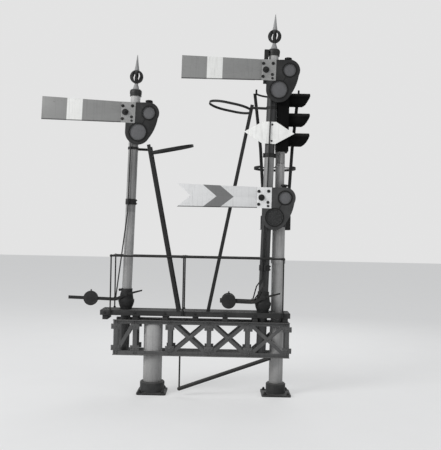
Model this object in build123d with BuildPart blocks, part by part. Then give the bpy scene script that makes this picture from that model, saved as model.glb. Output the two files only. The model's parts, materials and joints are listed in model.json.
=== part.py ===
from build123d import *

import os
from math import asin, atan2, copysign, cos, degrees, hypot, radians, sin, tan

# Railway signal gantry: a low latticed beam on two columns, carrying two dolls with
# three lower-quadrant semaphore arms, their ladders and levers, and a colour-light post.
# Millimetres. +X runs along the beam, +Y away from the arms' faces, +Z up, and the
# origin is the centre of the left column's foot.

os.makedirs("parts", exist_ok=True)

# Clearances
pin_gap = 0.3
running_fit = 0.08
running_gap = 6.0

# Columns
left_column_r = 135.0
right_column_r = 100.0
right_column_x = 1790.0
right_column_y = 40.0
collar_wall = 42.0
collar_height = 145.0
foot_size = 420.0
foot_thick = 25.0
foot_bolt_spacing = 330.0
foot_bolt_hole_r = 13.0
cap_plate_thick = 16.0
cap_plate_length = 330.0

# Lattice beam
beam_left = -560.0
beam_right = 1960.0
beam_bottom = 560.0
beam_depth = 500.0
girder_inner_y = 143.0
chord_leg = 58.0
chord_thick = 8.0
upright_width = 62.0
brace_width = 50.0
bar_thick = 8.0
open_bay_half = 250.0
braced_bays = 3
end_upright_inset = 36.0
tie_width = 70.0
doll_seat_width = 170.0
tie_thick = 12.0

# Deck
deck_left = -745.0
deck_half_depth = 200.0
bearer_width = 75.0
bearer_depth = 85.0
bearer_count = 7
board_thick = 50.0
board_count = 3
board_gap = 8.0
edge_board_thick = 30.0
edge_board_depth = 70.0

# Handrails
rail_height = 775.0
rail_r = 14.0
stanchion_r = 10.0
stanchion_left_x = -600.0
stanchion_middle_x = 430.0
stanchion_right_x = 1850.0
knob_r = 21.0
stanchion_palm = 62.0

# Dolls
doll_r = 70.0
left_doll_x = -404.0
left_doll_y = 0.0
left_doll_lean = 1.45
right_doll_x = 1572.0
right_doll_y = -70.0
right_doll_lean = 1.34
left_top_above_spindle = 343.0
home_top_above_spindle = 317.0
left_spindle_height = 2831.0
home_spindle_above_head = 258.0
distant_spindle_height = 1643.0
left_spindle_offset = 125.0
home_spindle_offset = 111.0
distant_spindle_offset = 94.0

# Doll bases
sleeve_r = 82.0
sleeve_top = 300.0
cone_top = 240.0
flange_r = 115.0
flange_top = 147.0
flange_bottom = 115.0
base_neck_r = 104.0
foot_r = 84.0
lug_reach = 101.0
lug_height = 276.0
lug_ball_r = 20.0
lug_stem_r = 9.0

# Finials
cap_r = 87.0
cap_lip = 4.0
cap_height = 104.0
cap_crown = 36.0
cap_above_tube = 14.0
neck_base_r = 50.0
neck_r = 24.0
neck_height = 92.0
ball_r = 97.0
ball_rib_count = 8
ball_rib_width = 26.0
ball_shell = 15.0
ball_sink = 8.0
spike_height = 228.0
spike_base_r = 36.0
spike_waist_r = 21.0
spike_tip_r = 4.0

# Arms
arm_length = 1200.0
arm_travel = 56.0
left_arm_rise = 0.6
home_arm_rise = -0.3
distant_arm_rise = -0.7
blade_tip_depth = 330.0
blade_root_depth = 292.0
blade_thick = 3.0
blade_return = 12.0
return_end = 150.0
fishtail_notch = 187.0
plate_left = 58.0
plate_right = 142.0
plate_depth = 296.0
casting_thick = 12.0
casting_back_y = 106.0
glass_pitch_r = 336.0
glass_angle_upper = 1.0
upper_glass_r = 88.0
lower_glass_r = 117.0
ring_wall = 18.0
ring_proud = 8.0
upper_rim = 151.0
lower_rim = 181.0
flank_bulge = 20.0
glass_thick = 6.0
spindle_r = 16.0
boss_r = 42.0
boss_proud = 14.0
bearing_r = 30.0
bearing_front_y = 98.0
bearing_length = 158.0
home_block_width = 58.0
home_block_depth = 46.0
home_block_above = 300.0
home_block_below = 186.0
collar_thick = 14.0
band_height = 70.0
band_thick = 8.0
strap_thick = 3.5
web_thick = 26.0

# Lamps
lamp_width = 130.0
lamp_depth = 118.0
lamp_height = 190.0
lamp_front_y = 94.0
lamp_cap_r = 53.0
lamp_neck_r = 34.0
lamp_neck_height = 73.0
lamp_cap_height = 31.0
lens_r = 58.0
lens_proud = 6.0
lamp_arm_size = 24.0

# Rods and balance levers
arm_crank_r = 109.0
lever_crank_r = 152.0
rod_r = 9.0
rod_y = 89.0
pin_r = 8.0
eye_thick = 10.0
eye_wall = 7.0
eye_slack = 1.3
lever_pivot_height = 220.0
lever_bar_drop = 73.0
lever_thick = 12.0
lever_back_y = 100.0
lever_bar_width = 46.0
lever_plate_width = 36.0
lever_pivot_r = 17.0
lever_boss_r = 34.0
left_lever_reach = 817.0
right_lever_reach = 620.0
wire_arm_reach = 235.0
wire_arm_rise = 70.0
weight_distance = 496.0
weight_r = 104.0
weight_thick = 46.0
left_guide_height = 1555.0
right_guide_height = 640.0
guide_height = 80.0
guide_gap = 0.8
plate_gap = 2.0
guide_wall = 9.0
home_rod_low_x = -36.0
home_rod_jog_high = 146.0
home_rod_jog_low = 78.0
home_rod_bend_x = -105.0
home_rod_bend_y = -50.0
home_rod_bend_drop = 107.0
distant_kink_drop = 90.0

# Diamond plate
diamond_width = 720.0
diamond_height = 316.0
diamond_flat = 190.0
diamond_thick = 3.0
diamond_centre_height = 2577.0
diamond_offset_x = -22.0
diamond_clamp_rise = 117.0
diamond_clamp_height = 32.0
diamond_pad_width = 54.0
low_clamp_height = 2259.0
low_clamp_band = 60.0
low_clamp_thick = 7.0
low_clamp_ear = 22.0

# Colour-light signal
light_post_r = 91.0
light_post_top_r = 66.0
light_step_height = 1400.0
light_post_height = 2119.0
light_neck_r = 38.0
light_neck_height = 206.0
light_collar_r = 75.0
light_collar_height = 12.0
neck_flange_r = 68.0
neck_flange_height = 24.0
neck_gusset_thick = 10.0
socket_wall = 14.0
socket_height = 60.0
socket_level = 705.0
head_width_x = 170.0
head_width_y = 300.0
head_height = 880.0
head_offset_x = 19.0
aspect_spacing = 288.0
aspect_count = 3
top_aspect_below = 122.0
hood_r = 98.0
hood_length = 306.0
hood_wall = 4.0
aspect_lens_r = 84.0

# Ladders
ladder_half_width = 140.0
stile_width = 50.0
stile_thick = 12.0
rung_r = 9.0
rung_pitch = 290.0
left_ladder_foot_x = 367.0
left_ladder_top_x = -105.0
left_ladder_top = 2366.0
left_ladder_y = -50.0
left_ladder_lean_back = 0.0
left_hoop_tilt = 5.0
right_ladder_foot_x = 788.0
right_ladder_top_x = 1364.0
right_ladder_top = 2990.0
right_ladder_y = 20.0
right_ladder_lean_back = 100.0
right_hoop_tilt = 0.0
hoop_depth = 600.0
hoop_half_width = 258.0
hoop_thick = 6.0
hoop_band = 36.0
left_hoop_below_top = 90.0
right_hoop_below_top = 50.0
stay_thick = 10.0
stay_band = 36.0
stay_below_top = 44.0
stay_clamp_thick = 8.0

# Footplate and guard frame behind the colour-light head
footplate_left = -252.0
footplate_right = 180.0
footplate_height = 1195.0
footplate_front_y = 93.0
footplate_depth = 330.0
footplate_thick = 8.0
footplate_rim = 205.0
guard_width = 46.0
guard_thick = 12.0
guard_y = 168.0
guard_foot = footplate_height + footplate_thick
guard_left = ((-197, guard_foot), (-236, 1805), (-280, 2405), (-380, 3205))
guard_right = ((117, guard_foot), (158, 1805), (189, 2405), (260, 3205))
guard_bar_r = 14.0
guard_bar_height = 3205.0
guard_bar_bow = 240.0
guard_horn = 60.0
guard_hoop_height = 2108.0
guard_hoop_r = 315.0
guard_hoop_half_front = 235.0
guard_hoop_front_band = 16.0

# Brace under the beam
brace_tube_r = 28.0
brace_foot_x = 400.0
brace_foot_height = 95.0
hanger_r = 12.0

# Levels and places that follow
beam_top = beam_bottom + beam_depth
deck_top = beam_top + bearer_depth + board_thick
girder_mid_y = girder_inner_y + bar_thick / 2
bay_pitch = (beam_right - end_upright_inset - open_bay_half) / braced_bays
glass_angle_lower = glass_angle_upper - arm_travel
arm_pin_angle = -arm_travel / 2
home_spindle_height = light_post_height + light_neck_height + head_height + home_spindle_above_head
rod_travel = 2 * arm_crank_r * sin(radians(arm_travel / 2))
lever_travel = 2 * degrees(asin(rod_travel / 2 / lever_crank_r))
lever_pin_angle = lever_travel / 2
rail_z = deck_top + rail_height
kink_below_guide = guide_height / 2 + rod_travel + rod_r + running_gap
left_seat_x = left_doll_x - (deck_top - beam_bottom) * tan(radians(left_doll_lean))
right_seat_x = right_doll_x - (deck_top - beam_bottom) * tan(radians(right_doll_lean))
right_doll_cap_x = right_doll_x - (deck_top - beam_top) * tan(radians(right_doll_lean))

left_doll = Plane(Location((left_doll_x, left_doll_y, deck_top), (0, left_doll_lean, 0)))
right_doll = Plane(Location((right_doll_x, right_doll_y, deck_top), (0, right_doll_lean, 0)))
light_base = Plane(Location((right_column_x, right_column_y, deck_top)))


def facing(frame, x, y, z, turn=0.0):
    """Drawing plane that looks at the viewer from a point of a frame: local y is up."""
    return Plane(frame.location * Location((x, y, z), (90, 0, turn)))


def level(frame, x=0.0, y=0.0, z=0.0):
    """Drawing plane square to a frame's upright axis at a point of the frame."""
    return Plane(frame.location * Location((x, y, z)))


def up_axis(frame, x=0.0, y=0.0, z=0.0):
    """Upright axis of a frame through one of its points."""
    place = level(frame, x, y, z)
    return Axis(place.origin, place.z_dir)


def save(part, name):
    """Label a finished piece and write it as a STEP file of the same name."""
    part.label = name
    export_step(part, f"parts/{name}.step")


# Columns, each with a socketed foot on a bolted flange and a cap plate under the deck
column_places = {
    "left": (0.0, 0.0, left_column_r),
    "right": (right_column_x, right_column_y, right_column_r),
}
column_height = beam_top - cap_plate_thick - foot_thick
for side, (column_x, column_y, column_r) in column_places.items():
    with BuildPart(Plane.XY.offset(foot_thick)) as column:
        with Locations((column_x, column_y, 0)):
            Cylinder(column_r, column_height, align=(Align.CENTER, Align.CENTER, Align.MIN))
    save(column.part, f"{side}_column")

with BuildPart() as column_feet:
    for column_x, column_y, column_r in column_places.values():
        with BuildSketch(Plane.XY):
            with Locations((column_x, column_y)):
                RectangleRounded(foot_size, foot_size, 30)
                with GridLocations(foot_bolt_spacing, foot_bolt_spacing, 2, 2):
                    Circle(foot_bolt_hole_r, mode=Mode.SUBTRACT)
        extrude(amount=foot_thick)
        with BuildSketch(Plane.XY.offset(foot_thick)):
            with Locations((column_x, column_y)):
                Circle(column_r + collar_wall)
                Circle(column_r, mode=Mode.SUBTRACT)
        extrude(amount=collar_height)
    rims = column_feet.edges().filter_by(GeomType.CIRCLE).group_by(Axis.Z)[-1]
    chamfer([rim for rim in rims if rim.radius > left_column_r or rim.radius == right_column_r + collar_wall], 14)
save(column_feet.part, "column_feet")

# Girders: two chords, uprights and crossed braces, fused where they cross
upright_xs = [beam_left + end_upright_inset, -open_bay_half, open_bay_half]
upright_xs += [open_bay_half + bay_pitch * (n + 1) for n in range(braced_bays)]
bar_low = beam_bottom + chord_thick
bar_high = beam_top - chord_thick
for side, facing_sign in (("front", -1), ("rear", 1)):
    inner = facing_sign * girder_inner_y
    with BuildPart() as girder:
        with BuildSketch(Plane.YZ.offset(beam_left)):
            for level_z, inward in ((beam_bottom, 1), (beam_top, -1)):
                with BuildLine():
                    Polyline(
                        (inner, level_z),
                        (inner + facing_sign * chord_leg, level_z),
                        (inner + facing_sign * chord_leg, level_z + inward * chord_thick),
                        (inner + facing_sign * chord_thick, level_z + inward * chord_thick),
                        (inner + facing_sign * chord_thick, level_z + inward * chord_leg),
                        (inner, level_z + inward * chord_leg),
                        close=True,
                    )
                make_face()
        extrude(amount=beam_right - beam_left)
        with BuildSketch(Plane.XZ.offset(-inner)):
            for upright_x in upright_xs:
                with Locations((upright_x, (beam_bottom + beam_top) / 2)):
                    Rectangle(upright_width, beam_depth)
            spans = [(upright_xs[n + 2], upright_xs[n + 3], both) for n, both in enumerate([True] * braced_bays)]
            spans.append((upright_xs[0], upright_xs[1], False))
            for start_x, end_x, crossed in spans:
                run = hypot(end_x - start_x, bar_high - bar_low)
                slope = degrees(atan2(bar_high - bar_low, end_x - start_x))
                middle = ((start_x + end_x) / 2, (bar_low + bar_high) / 2)
                for turn in (slope, -slope) if crossed else (slope,):
                    with Locations(Location((*middle, 0), (0, 0, turn))):
                        Rectangle(run - brace_width, brace_width)
        extrude(amount=-facing_sign * bar_thick)
    save(girder.part, f"{side}_girder")

# Plates that join the two girders: cap plates on the columns, ties along the bottom chords
with BuildPart() as girder_plates:
    with BuildSketch(Plane.XY.offset(beam_top - cap_plate_thick)):
        for column_x, column_y, column_r in column_places.values():
            with Locations((column_x, 0)):
                Rectangle(cap_plate_length, 2 * girder_inner_y)
        with Locations((right_doll_cap_x, right_doll_y)):
            Circle(doll_r + plate_gap, mode=Mode.SUBTRACT)
    extrude(amount=cap_plate_thick)
    with BuildSketch(Plane.XY.offset(beam_bottom)):
        for tie_x in (open_bay_half, *upright_xs[3:5]):
            with Locations((tie_x, 0)):
                Rectangle(tie_width, 2 * girder_inner_y)
        for seat_x in (left_seat_x, right_seat_x):
            with Locations((seat_x, 0)):
                Rectangle(doll_seat_width, 2 * girder_inner_y)
        with Locations((right_column_x, right_column_y)):
            Circle(right_column_r + plate_gap, mode=Mode.SUBTRACT)
    extrude(amount=tie_thick)
save(girder_plates.part, "girder_plates")

# Cross bearers on the top chords, clear of the dolls' lower ends
bearer_first = deck_left + bearer_width / 2 + edge_board_thick
bearer_last = beam_right - bearer_width / 2 - edge_board_thick
bearer_step = (bearer_last - bearer_first) / (bearer_count - 1)
board_half = deck_half_depth - edge_board_thick
with BuildPart() as cross_bearers:
    with BuildSketch(Plane.XY.offset(beam_top)):
        for n in range(bearer_count):
            with Locations((bearer_first + n * bearer_step, 0)):
                Rectangle(bearer_width, 2 * board_half)
        with Locations((left_doll_x, left_doll_y), (right_doll_x, right_doll_y)):
            Circle(doll_r + running_gap, mode=Mode.SUBTRACT)
        with Locations((right_column_x, right_column_y)):
            Circle(right_column_r + running_gap, mode=Mode.SUBTRACT)
    extrude(amount=bearer_depth)
save(cross_bearers.part, "cross_bearers")

# Deck boards, run lengthwise and cut round the dolls and the colour-light post
board_width = (2 * board_half - (board_count - 1) * board_gap) / board_count
deck_length = beam_right - deck_left
deck_mid_x = (deck_left + beam_right) / 2
with BuildPart() as deck_boards:
    with BuildSketch(Plane.XY.offset(deck_top - board_thick)):
        with Locations((deck_mid_x, 0)):
            with GridLocations(0, board_width + board_gap, 1, board_count):
                Rectangle(deck_length, board_width)
        with Locations((left_doll_x, left_doll_y), (right_doll_x, right_doll_y)):
            Circle(doll_r + running_gap, mode=Mode.SUBTRACT)
        with Locations((right_column_x, right_column_y)):
            Circle(right_column_r + running_gap, mode=Mode.SUBTRACT)
    extrude(amount=board_thick)
save(deck_boards.part, "deck_boards")

with BuildPart() as edge_boards:
    with BuildSketch(Plane.XY.offset(deck_top - edge_board_depth)):
        with Locations((deck_mid_x, 0)):
            with GridLocations(0, 2 * deck_half_depth - edge_board_thick, 1, 2):
                Rectangle(deck_length, edge_board_thick)
    extrude(amount=edge_board_depth)
save(edge_boards.part, "edge_boards")

# Handrails: round stanchions bolted to the edge boards, one top rail, ball knobs
rail_y = deck_half_depth + stanchion_r
stanchion_xs = (stanchion_left_x, stanchion_middle_x, stanchion_right_x)
for side, facing_sign in (("front", -1), ("rear", 1)):
    side_y = facing_sign * rail_y
    with BuildPart() as handrail:
        with BuildSketch(Plane.XY.offset(deck_top - stanchion_palm)):
            for stanchion_x in stanchion_xs:
                with Locations((stanchion_x, side_y)):
                    Circle(stanchion_r)
        extrude(amount=stanchion_palm + rail_height)
        with BuildSketch(Plane.YZ.offset(stanchion_left_x)):
            with Locations((side_y, rail_z)):
                Circle(rail_r)
        extrude(amount=stanchion_right_x - stanchion_left_x)
        with Locations(*[(stanchion_x, side_y, rail_z) for stanchion_x in stanchion_xs]):
            Sphere(knob_r)
    save(handrail.part, f"{side}_handrail")

with BuildPart() as end_rail:
    with BuildSketch(Plane.XZ.offset(rail_y - knob_r)):
        with Locations((stanchion_left_x, rail_z)):
            Circle(rail_r - pin_gap)
    extrude(amount=-2 * (rail_y - knob_r))
save(end_rail.part, "end_handrail")

# Brace under the beam: a sloping tube from a low corner, hung from the girder by a rod
brace_top_x = right_column_x - right_column_r
brace_top_z = beam_bottom
brace_run = hypot(brace_top_x - brace_foot_x, brace_top_z - brace_foot_height)
brace_slope = degrees(atan2(brace_top_z - brace_foot_height, brace_top_x - brace_foot_x))
brace_y = -girder_mid_y - chord_leg / 2
with BuildPart() as under_brace:
    with BuildSketch(Plane.XY.offset(brace_foot_height)):
        with Locations((brace_foot_x, brace_y)):
            Circle(hanger_r)
    extrude(amount=beam_bottom - brace_foot_height)
    with BuildSketch(Plane(Location((brace_foot_x, brace_y, brace_foot_height), (0, 90 - brace_slope, 0)))):
        Circle(brace_tube_r)
    extrude(amount=brace_run)
    with Locations((brace_foot_x, brace_y, brace_foot_height)):
        Sphere(brace_tube_r)
    split(bisect_by=Plane.XY.offset(beam_bottom), keep=Keep.BOTTOM)
save(under_brace.part, "under_brace")


# Dolls: tube, cast base, finial
for side, frame, tube_top in (
    ("left", left_doll, left_spindle_height + left_top_above_spindle),
    ("right", right_doll, home_spindle_height + home_top_above_spindle),
):
    tube_foot = beam_bottom + tie_thick - deck_top
    seat = level(Plane.XY, frame.origin.X, frame.origin.Y, beam_bottom + tie_thick)
    with BuildPart() as doll_post:
        with BuildSketch(level(frame, z=tube_foot - doll_r)):
            Circle(doll_r)
        extrude(amount=tube_top - tube_foot + doll_r)
        split(bisect_by=seat, keep=Keep.TOP)
    save(doll_post.part, f"{side}_doll")

    with BuildPart() as doll_base:
        with BuildSketch(facing(frame, 0, 0, 0)):
            with BuildLine():
                Polyline(
                    (doll_r, 0),
                    (foot_r, 0),
                    (foot_r, 20),
                    (base_neck_r, 70),
                    (flange_r, flange_bottom),
                    (flange_r, flange_top),
                    (flange_r - 12, flange_top),
                    (sleeve_r + 6, cone_top),
                    (sleeve_r, cone_top),
                    (sleeve_r, sleeve_top),
                    (doll_r, sleeve_top),
                    close=True,
                )
            make_face()
        revolve(axis=up_axis(frame))
        with BuildSketch(facing(frame, 0, -doll_r, lever_pivot_height)):
            Circle(lever_boss_r - 4)
        extrude(amount=lever_back_y - doll_r - pin_gap)
        with BuildSketch(facing(frame, 0, -doll_r, lever_pivot_height)):
            Circle(lever_pivot_r)
        extrude(amount=lever_back_y + lever_thick + 16 - doll_r)
        with BuildSketch(facing(frame, 0, -lever_back_y - lever_thick - pin_gap, lever_pivot_height)):
            Circle(lever_pivot_r + 9)
        extrude(amount=16)
        if side == "left":
            with BuildSketch(Plane(frame.location * Location((0, 0, lug_height), (0, -90, 0)))):
                Circle(lug_stem_r)
            extrude(amount=lug_reach)
            with Locations(frame.from_local_coords((-lug_reach, 0, lug_height))):
                Sphere(lug_ball_r)
        else:
            with BuildSketch(facing(frame, 0, lever_back_y - pin_gap, lever_pivot_height)):
                Circle(lever_boss_r - 4)
            extrude(amount=lever_back_y - doll_r)
            with BuildSketch(facing(frame, 0, lever_back_y + lever_thick + 16, lever_pivot_height)):
                Circle(lever_pivot_r)
            extrude(amount=lever_back_y + lever_thick + 16 - doll_r)
            with BuildSketch(facing(frame, 0, lever_back_y + lever_thick + pin_gap + 16, lever_pivot_height)):
                Circle(lever_pivot_r + 9)
            extrude(amount=16)
        with BuildSketch(level(frame)):
            Circle(doll_r)
        extrude(amount=sleeve_top, mode=Mode.SUBTRACT)
        with BuildSketch(level(light_base)):
            Circle(light_post_r + running_gap)
        extrude(amount=sleeve_top, mode=Mode.SUBTRACT)
        split(bisect_by=Plane.XY.offset(deck_top), keep=Keep.TOP)
    save(doll_base.part, f"{side}_doll_base")

    cap_top = tube_top + cap_above_tube
    ball_z = cap_top + neck_height + ball_r - ball_sink
    neck_top_r = neck_r + cap_lip
    neck_top = ball_z - (ball_r**2 - neck_top_r**2) ** 0.5
    spike_foot = ball_z + (ball_r**2 - spike_base_r**2) ** 0.5
    hollow_r = ball_r - ball_shell
    rib_step = 360 / ball_rib_count
    first_window = rib_step / 2 if side == "left" else rib_step / 4
    profile_turn = Location((0, 0, 0), (0, 0, first_window - rib_step / 2))
    with BuildPart() as finial:
        with BuildSketch(Plane(frame.location * profile_turn * Location((0, 0, 0), (90, 0, 0)))):
            with BuildLine():
                Polyline(
                    (0, tube_top),
                    (doll_r, tube_top),
                    (doll_r, cap_top - cap_height),
                    (cap_r - cap_lip, cap_top - cap_height),
                    (cap_r - cap_lip, cap_top - 2 * cap_crown),
                    (cap_r, cap_top - 2 * cap_crown + cap_lip),
                    (cap_r, cap_top - cap_crown),
                )
                RadiusArc((cap_r, cap_top - cap_crown), (neck_base_r, cap_top), -cap_crown * 1.1)
                Polyline((neck_base_r, cap_top), (neck_r, neck_top - ball_sink), (neck_top_r, neck_top))
                ThreePointArc((neck_top_r, neck_top), (ball_r, ball_z), (spike_base_r, spike_foot))
                Polyline(
                    (spike_base_r, spike_foot),
                    (spike_waist_r, spike_foot + spike_height * 0.4),
                    (spike_tip_r, spike_foot + spike_height),
                    (0, spike_foot + spike_height),
                    (0, ball_z + hollow_r),
                )
                ThreePointArc((0, ball_z + hollow_r), (hollow_r, ball_z), (0, ball_z - hollow_r))
                Line((0, ball_z - hollow_r), (0, tube_top))
            make_face()
        revolve(axis=up_axis(frame))
        window_high = ball_r * 0.72
        half_low = ball_r * tan(radians(rib_step / 2)) - ball_rib_width / 2
        half_high = half_low * 0.3
        for turn in range(ball_rib_count):
            spun = Location((0, 0, ball_z), (0, 0, first_window + rib_step * turn))
            with BuildSketch(Plane(frame.location * spun * Location((0, 0, 0), (90, 0, 0)))):
                with BuildLine():
                    Polyline(
                        (-half_low, 0),
                        (-half_high, -window_high),
                        (half_high, -window_high),
                        (half_low, 0),
                        (half_high, window_high),
                        (-half_high, window_high),
                        close=True,
                    )
                make_face()
            extrude(amount=ball_r + running_gap, mode=Mode.SUBTRACT)
    save(finial.part, f"{side}_finial")


# Arms: blade, spectacle casting with its spindle, glasses, bearing and lamp
def glass_place(angle):
    """Centre of a glass about the spindle, in the arm's own drawing plane."""
    return (glass_pitch_r * cos(radians(angle)), glass_pitch_r * sin(radians(angle)))


upper_glass = glass_place(glass_angle_upper)
lower_glass = glass_place(glass_angle_lower)
flank = atan2(lower_glass[1] - upper_glass[1], lower_glass[0] - upper_glass[0])
outward = (-sin(flank), cos(flank))
flank_high = (upper_glass[0] + upper_rim * outward[0], upper_glass[1] + upper_rim * outward[1])
flank_low = (lower_glass[0] + lower_rim * outward[0], lower_glass[1] + lower_rim * outward[1])
flank_middle = (
    (flank_high[0] + flank_low[0]) / 2 + flank_bulge * outward[0],
    (flank_high[1] + flank_low[1]) / 2 + flank_bulge * outward[1],
)
arms = {
    "left": (left_doll, left_spindle_offset, left_spindle_height, left_arm_rise),
    "home": (right_doll, home_spindle_offset, home_spindle_height, home_arm_rise),
    "distant": (right_doll, distant_spindle_offset, distant_spindle_height, distant_arm_rise),
}
for name, (frame, offset_x, height, arm_rise) in arms.items():
    arm_x = -offset_x
    pin_turn = radians(arm_pin_angle + arm_rise)
    pin_x = arm_crank_r * cos(pin_turn)
    pin_z = arm_crank_r * sin(pin_turn)
    blade_back = facing(frame, arm_x, -casting_back_y + blade_thick, height, -arm_rise)
    with BuildPart() as blade:
        outline = [(-arm_length, -blade_tip_depth / 2), (plate_right - 20, -blade_root_depth / 2)]
        outline += [(plate_right - 20, blade_root_depth / 2), (-arm_length, blade_tip_depth / 2)]
        notch = [(-arm_length + fishtail_notch, 0)] if name == "distant" else []
        with BuildSketch(blade_back):
            with BuildLine():
                Polyline(*outline, *notch, close=True)
            make_face()
        extrude(amount=blade_thick)
        for up in (1, -1):
            slant = (blade_tip_depth - blade_root_depth) / 2 / (arm_length + plate_right - 20)
            return_half = blade_tip_depth / 2 - slant * (arm_length - return_end)
            with BuildSketch(blade_back):
                with BuildLine():
                    Polyline(
                        (-arm_length, up * blade_tip_depth / 2),
                        (-return_end, up * return_half),
                        (-return_end, up * (return_half - blade_thick)),
                        (-arm_length, up * (blade_tip_depth / 2 - blade_thick)),
                        close=True,
                    )
                make_face()
            extrude(amount=-(blade_return - blade_thick))
        with BuildSketch(blade_back):
            Circle(spindle_r + pin_gap)
            with Locations((pin_x, pin_z)):
                Circle(pin_r + pin_gap)
        extrude(amount=blade_thick, mode=Mode.SUBTRACT)
    save(blade.part, f"{name}_arm_blade")

    casting_plane = facing(frame, arm_x, -casting_back_y, height, -arm_rise)
    with BuildPart() as spectacle:
        with BuildSketch(casting_plane):
            with Locations(((plate_right - plate_left) / 2, 0)):
                Rectangle(plate_left + plate_right, plate_depth)
            with BuildLine():
                Polyline(
                    (plate_right, plate_depth / 2),
                    (upper_glass[0], upper_glass[1] + upper_rim),
                    upper_glass,
                    lower_glass,
                    (lower_glass[0] - lower_rim, lower_glass[1]),
                    (lower_glass[0] - lower_rim, -plate_depth / 2),
                    (plate_right, -plate_depth / 2),
                    close=True,
                )
            make_face()
            with Locations(upper_glass):
                Circle(upper_rim)
            with Locations(lower_glass):
                Circle(lower_rim)
            with BuildLine():
                Line(upper_glass, flank_high)
                ThreePointArc(flank_high, flank_middle, flank_low)
                Polyline(flank_low, lower_glass, upper_glass)
            make_face()
            with Locations(upper_glass):
                Circle(upper_glass_r, mode=Mode.SUBTRACT)
            with Locations(lower_glass):
                Circle(lower_glass_r, mode=Mode.SUBTRACT)
        extrude(amount=casting_thick)
        with BuildSketch(facing(frame, arm_x, -casting_back_y - casting_thick, height, -arm_rise)):
            for centre, hole_r in ((upper_glass, upper_glass_r), (lower_glass, lower_glass_r)):
                with Locations(centre):
                    Circle(hole_r + ring_wall)
                    Circle(hole_r, mode=Mode.SUBTRACT)
            Circle(boss_r)
        extrude(amount=ring_proud)
        with BuildSketch(casting_plane):
            Circle(spindle_r)
        extrude(amount=-(bearing_length + casting_back_y - bearing_front_y + pin_gap))
        collar_y = -bearing_front_y + bearing_length + pin_gap
        with BuildSketch(facing(frame, arm_x, collar_y + collar_thick, height)):
            Circle(bearing_r - 4)
        extrude(amount=collar_thick)
        with BuildSketch(casting_plane):
            with Locations((pin_x, pin_z)):
                Circle(pin_r)
        extrude(amount=-(casting_back_y - rod_y + eye_thick / 2 + 2))
    save(spectacle.part, f"{name}_spectacle")

    with BuildPart() as glasses:
        with BuildSketch(facing(frame, arm_x, -casting_back_y - 3, height, -arm_rise)):
            with Locations(upper_glass):
                Circle(upper_glass_r)
            with Locations(lower_glass):
                Circle(lower_glass_r)
        extrude(amount=glass_thick)
    save(glasses.part, f"{name}_glasses")

    with BuildPart() as bearing:
        with BuildSketch(facing(frame, arm_x, -bearing_front_y + bearing_length, height)):
            Circle(bearing_r)
        extrude(amount=bearing_length)
        with BuildSketch(level(frame, 0, 0, height - band_height / 2)):
            Circle(doll_r + band_thick)
            with Locations((arm_x / 2, 0)):
                Rectangle(offset_x, web_thick)
        extrude(amount=band_height)
        with BuildSketch(level(frame, 0, 0, height - band_height / 2)):
            Circle(doll_r)
        extrude(amount=band_height, mode=Mode.SUBTRACT)
        if name == "home":
            block_y = -bearing_front_y + (bearing_r + home_block_depth) / 2
            with BuildSketch(level(frame, arm_x, block_y, height - home_block_below)):
                Rectangle(home_block_width, home_block_depth)
            extrude(amount=home_block_above + home_block_below)
        with BuildSketch(facing(frame, arm_x, -bearing_front_y + bearing_length, height)):
            Circle(spindle_r + running_fit)
        extrude(amount=bearing_length, mode=Mode.SUBTRACT)
    save(bearing.part, f"{name}_bearing")

    lamp_x = arm_x + upper_glass[0]
    lamp_z = height + upper_glass[1] - glass_pitch_r * sin(radians(arm_rise))
    lamp_foot = lamp_z - lamp_height / 2
    with BuildPart() as lamp:
        with BuildSketch(level(frame, lamp_x, -lamp_front_y + lamp_depth / 2, lamp_foot)):
            RectangleRounded(lamp_width, lamp_depth, 12)
        extrude(amount=lamp_height)
        with BuildSketch(level(frame, lamp_x, -lamp_front_y + lamp_depth / 2, lamp_foot + lamp_height)):
            Circle(lamp_neck_r)
        extrude(amount=lamp_neck_height)
        cap_foot = lamp_foot + lamp_height + lamp_neck_height
        with BuildSketch(level(frame, lamp_x, -lamp_front_y + lamp_depth / 2, cap_foot)):
            Circle(lamp_cap_r)
        extrude(amount=lamp_cap_height)
        with BuildSketch(facing(frame, lamp_x, -lamp_front_y, lamp_z)):
            Circle(lens_r)
        extrude(amount=lens_proud)
        with BuildSketch(level(frame, 0, 0, lamp_foot - lamp_arm_size)):
            with Locations(((lamp_x + lamp_width / 2) / 2, -lamp_front_y + lamp_depth / 2)):
                Rectangle(lamp_x + lamp_width / 2, lamp_arm_size)
            Circle(doll_r + strap_thick)
        extrude(amount=lamp_arm_size)
        with BuildSketch(level(frame, 0, 0, lamp_foot - lamp_arm_size)):
            Circle(doll_r)
        extrude(amount=lamp_arm_size, mode=Mode.SUBTRACT)
    save(lamp.part, f"{name}_lamp")


def top_rod_x(name):
    """Where a rod hangs beside its doll for the arm that it works."""
    return arm_crank_r * cos(radians(arm_pin_angle)) - arms[name][1]


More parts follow.
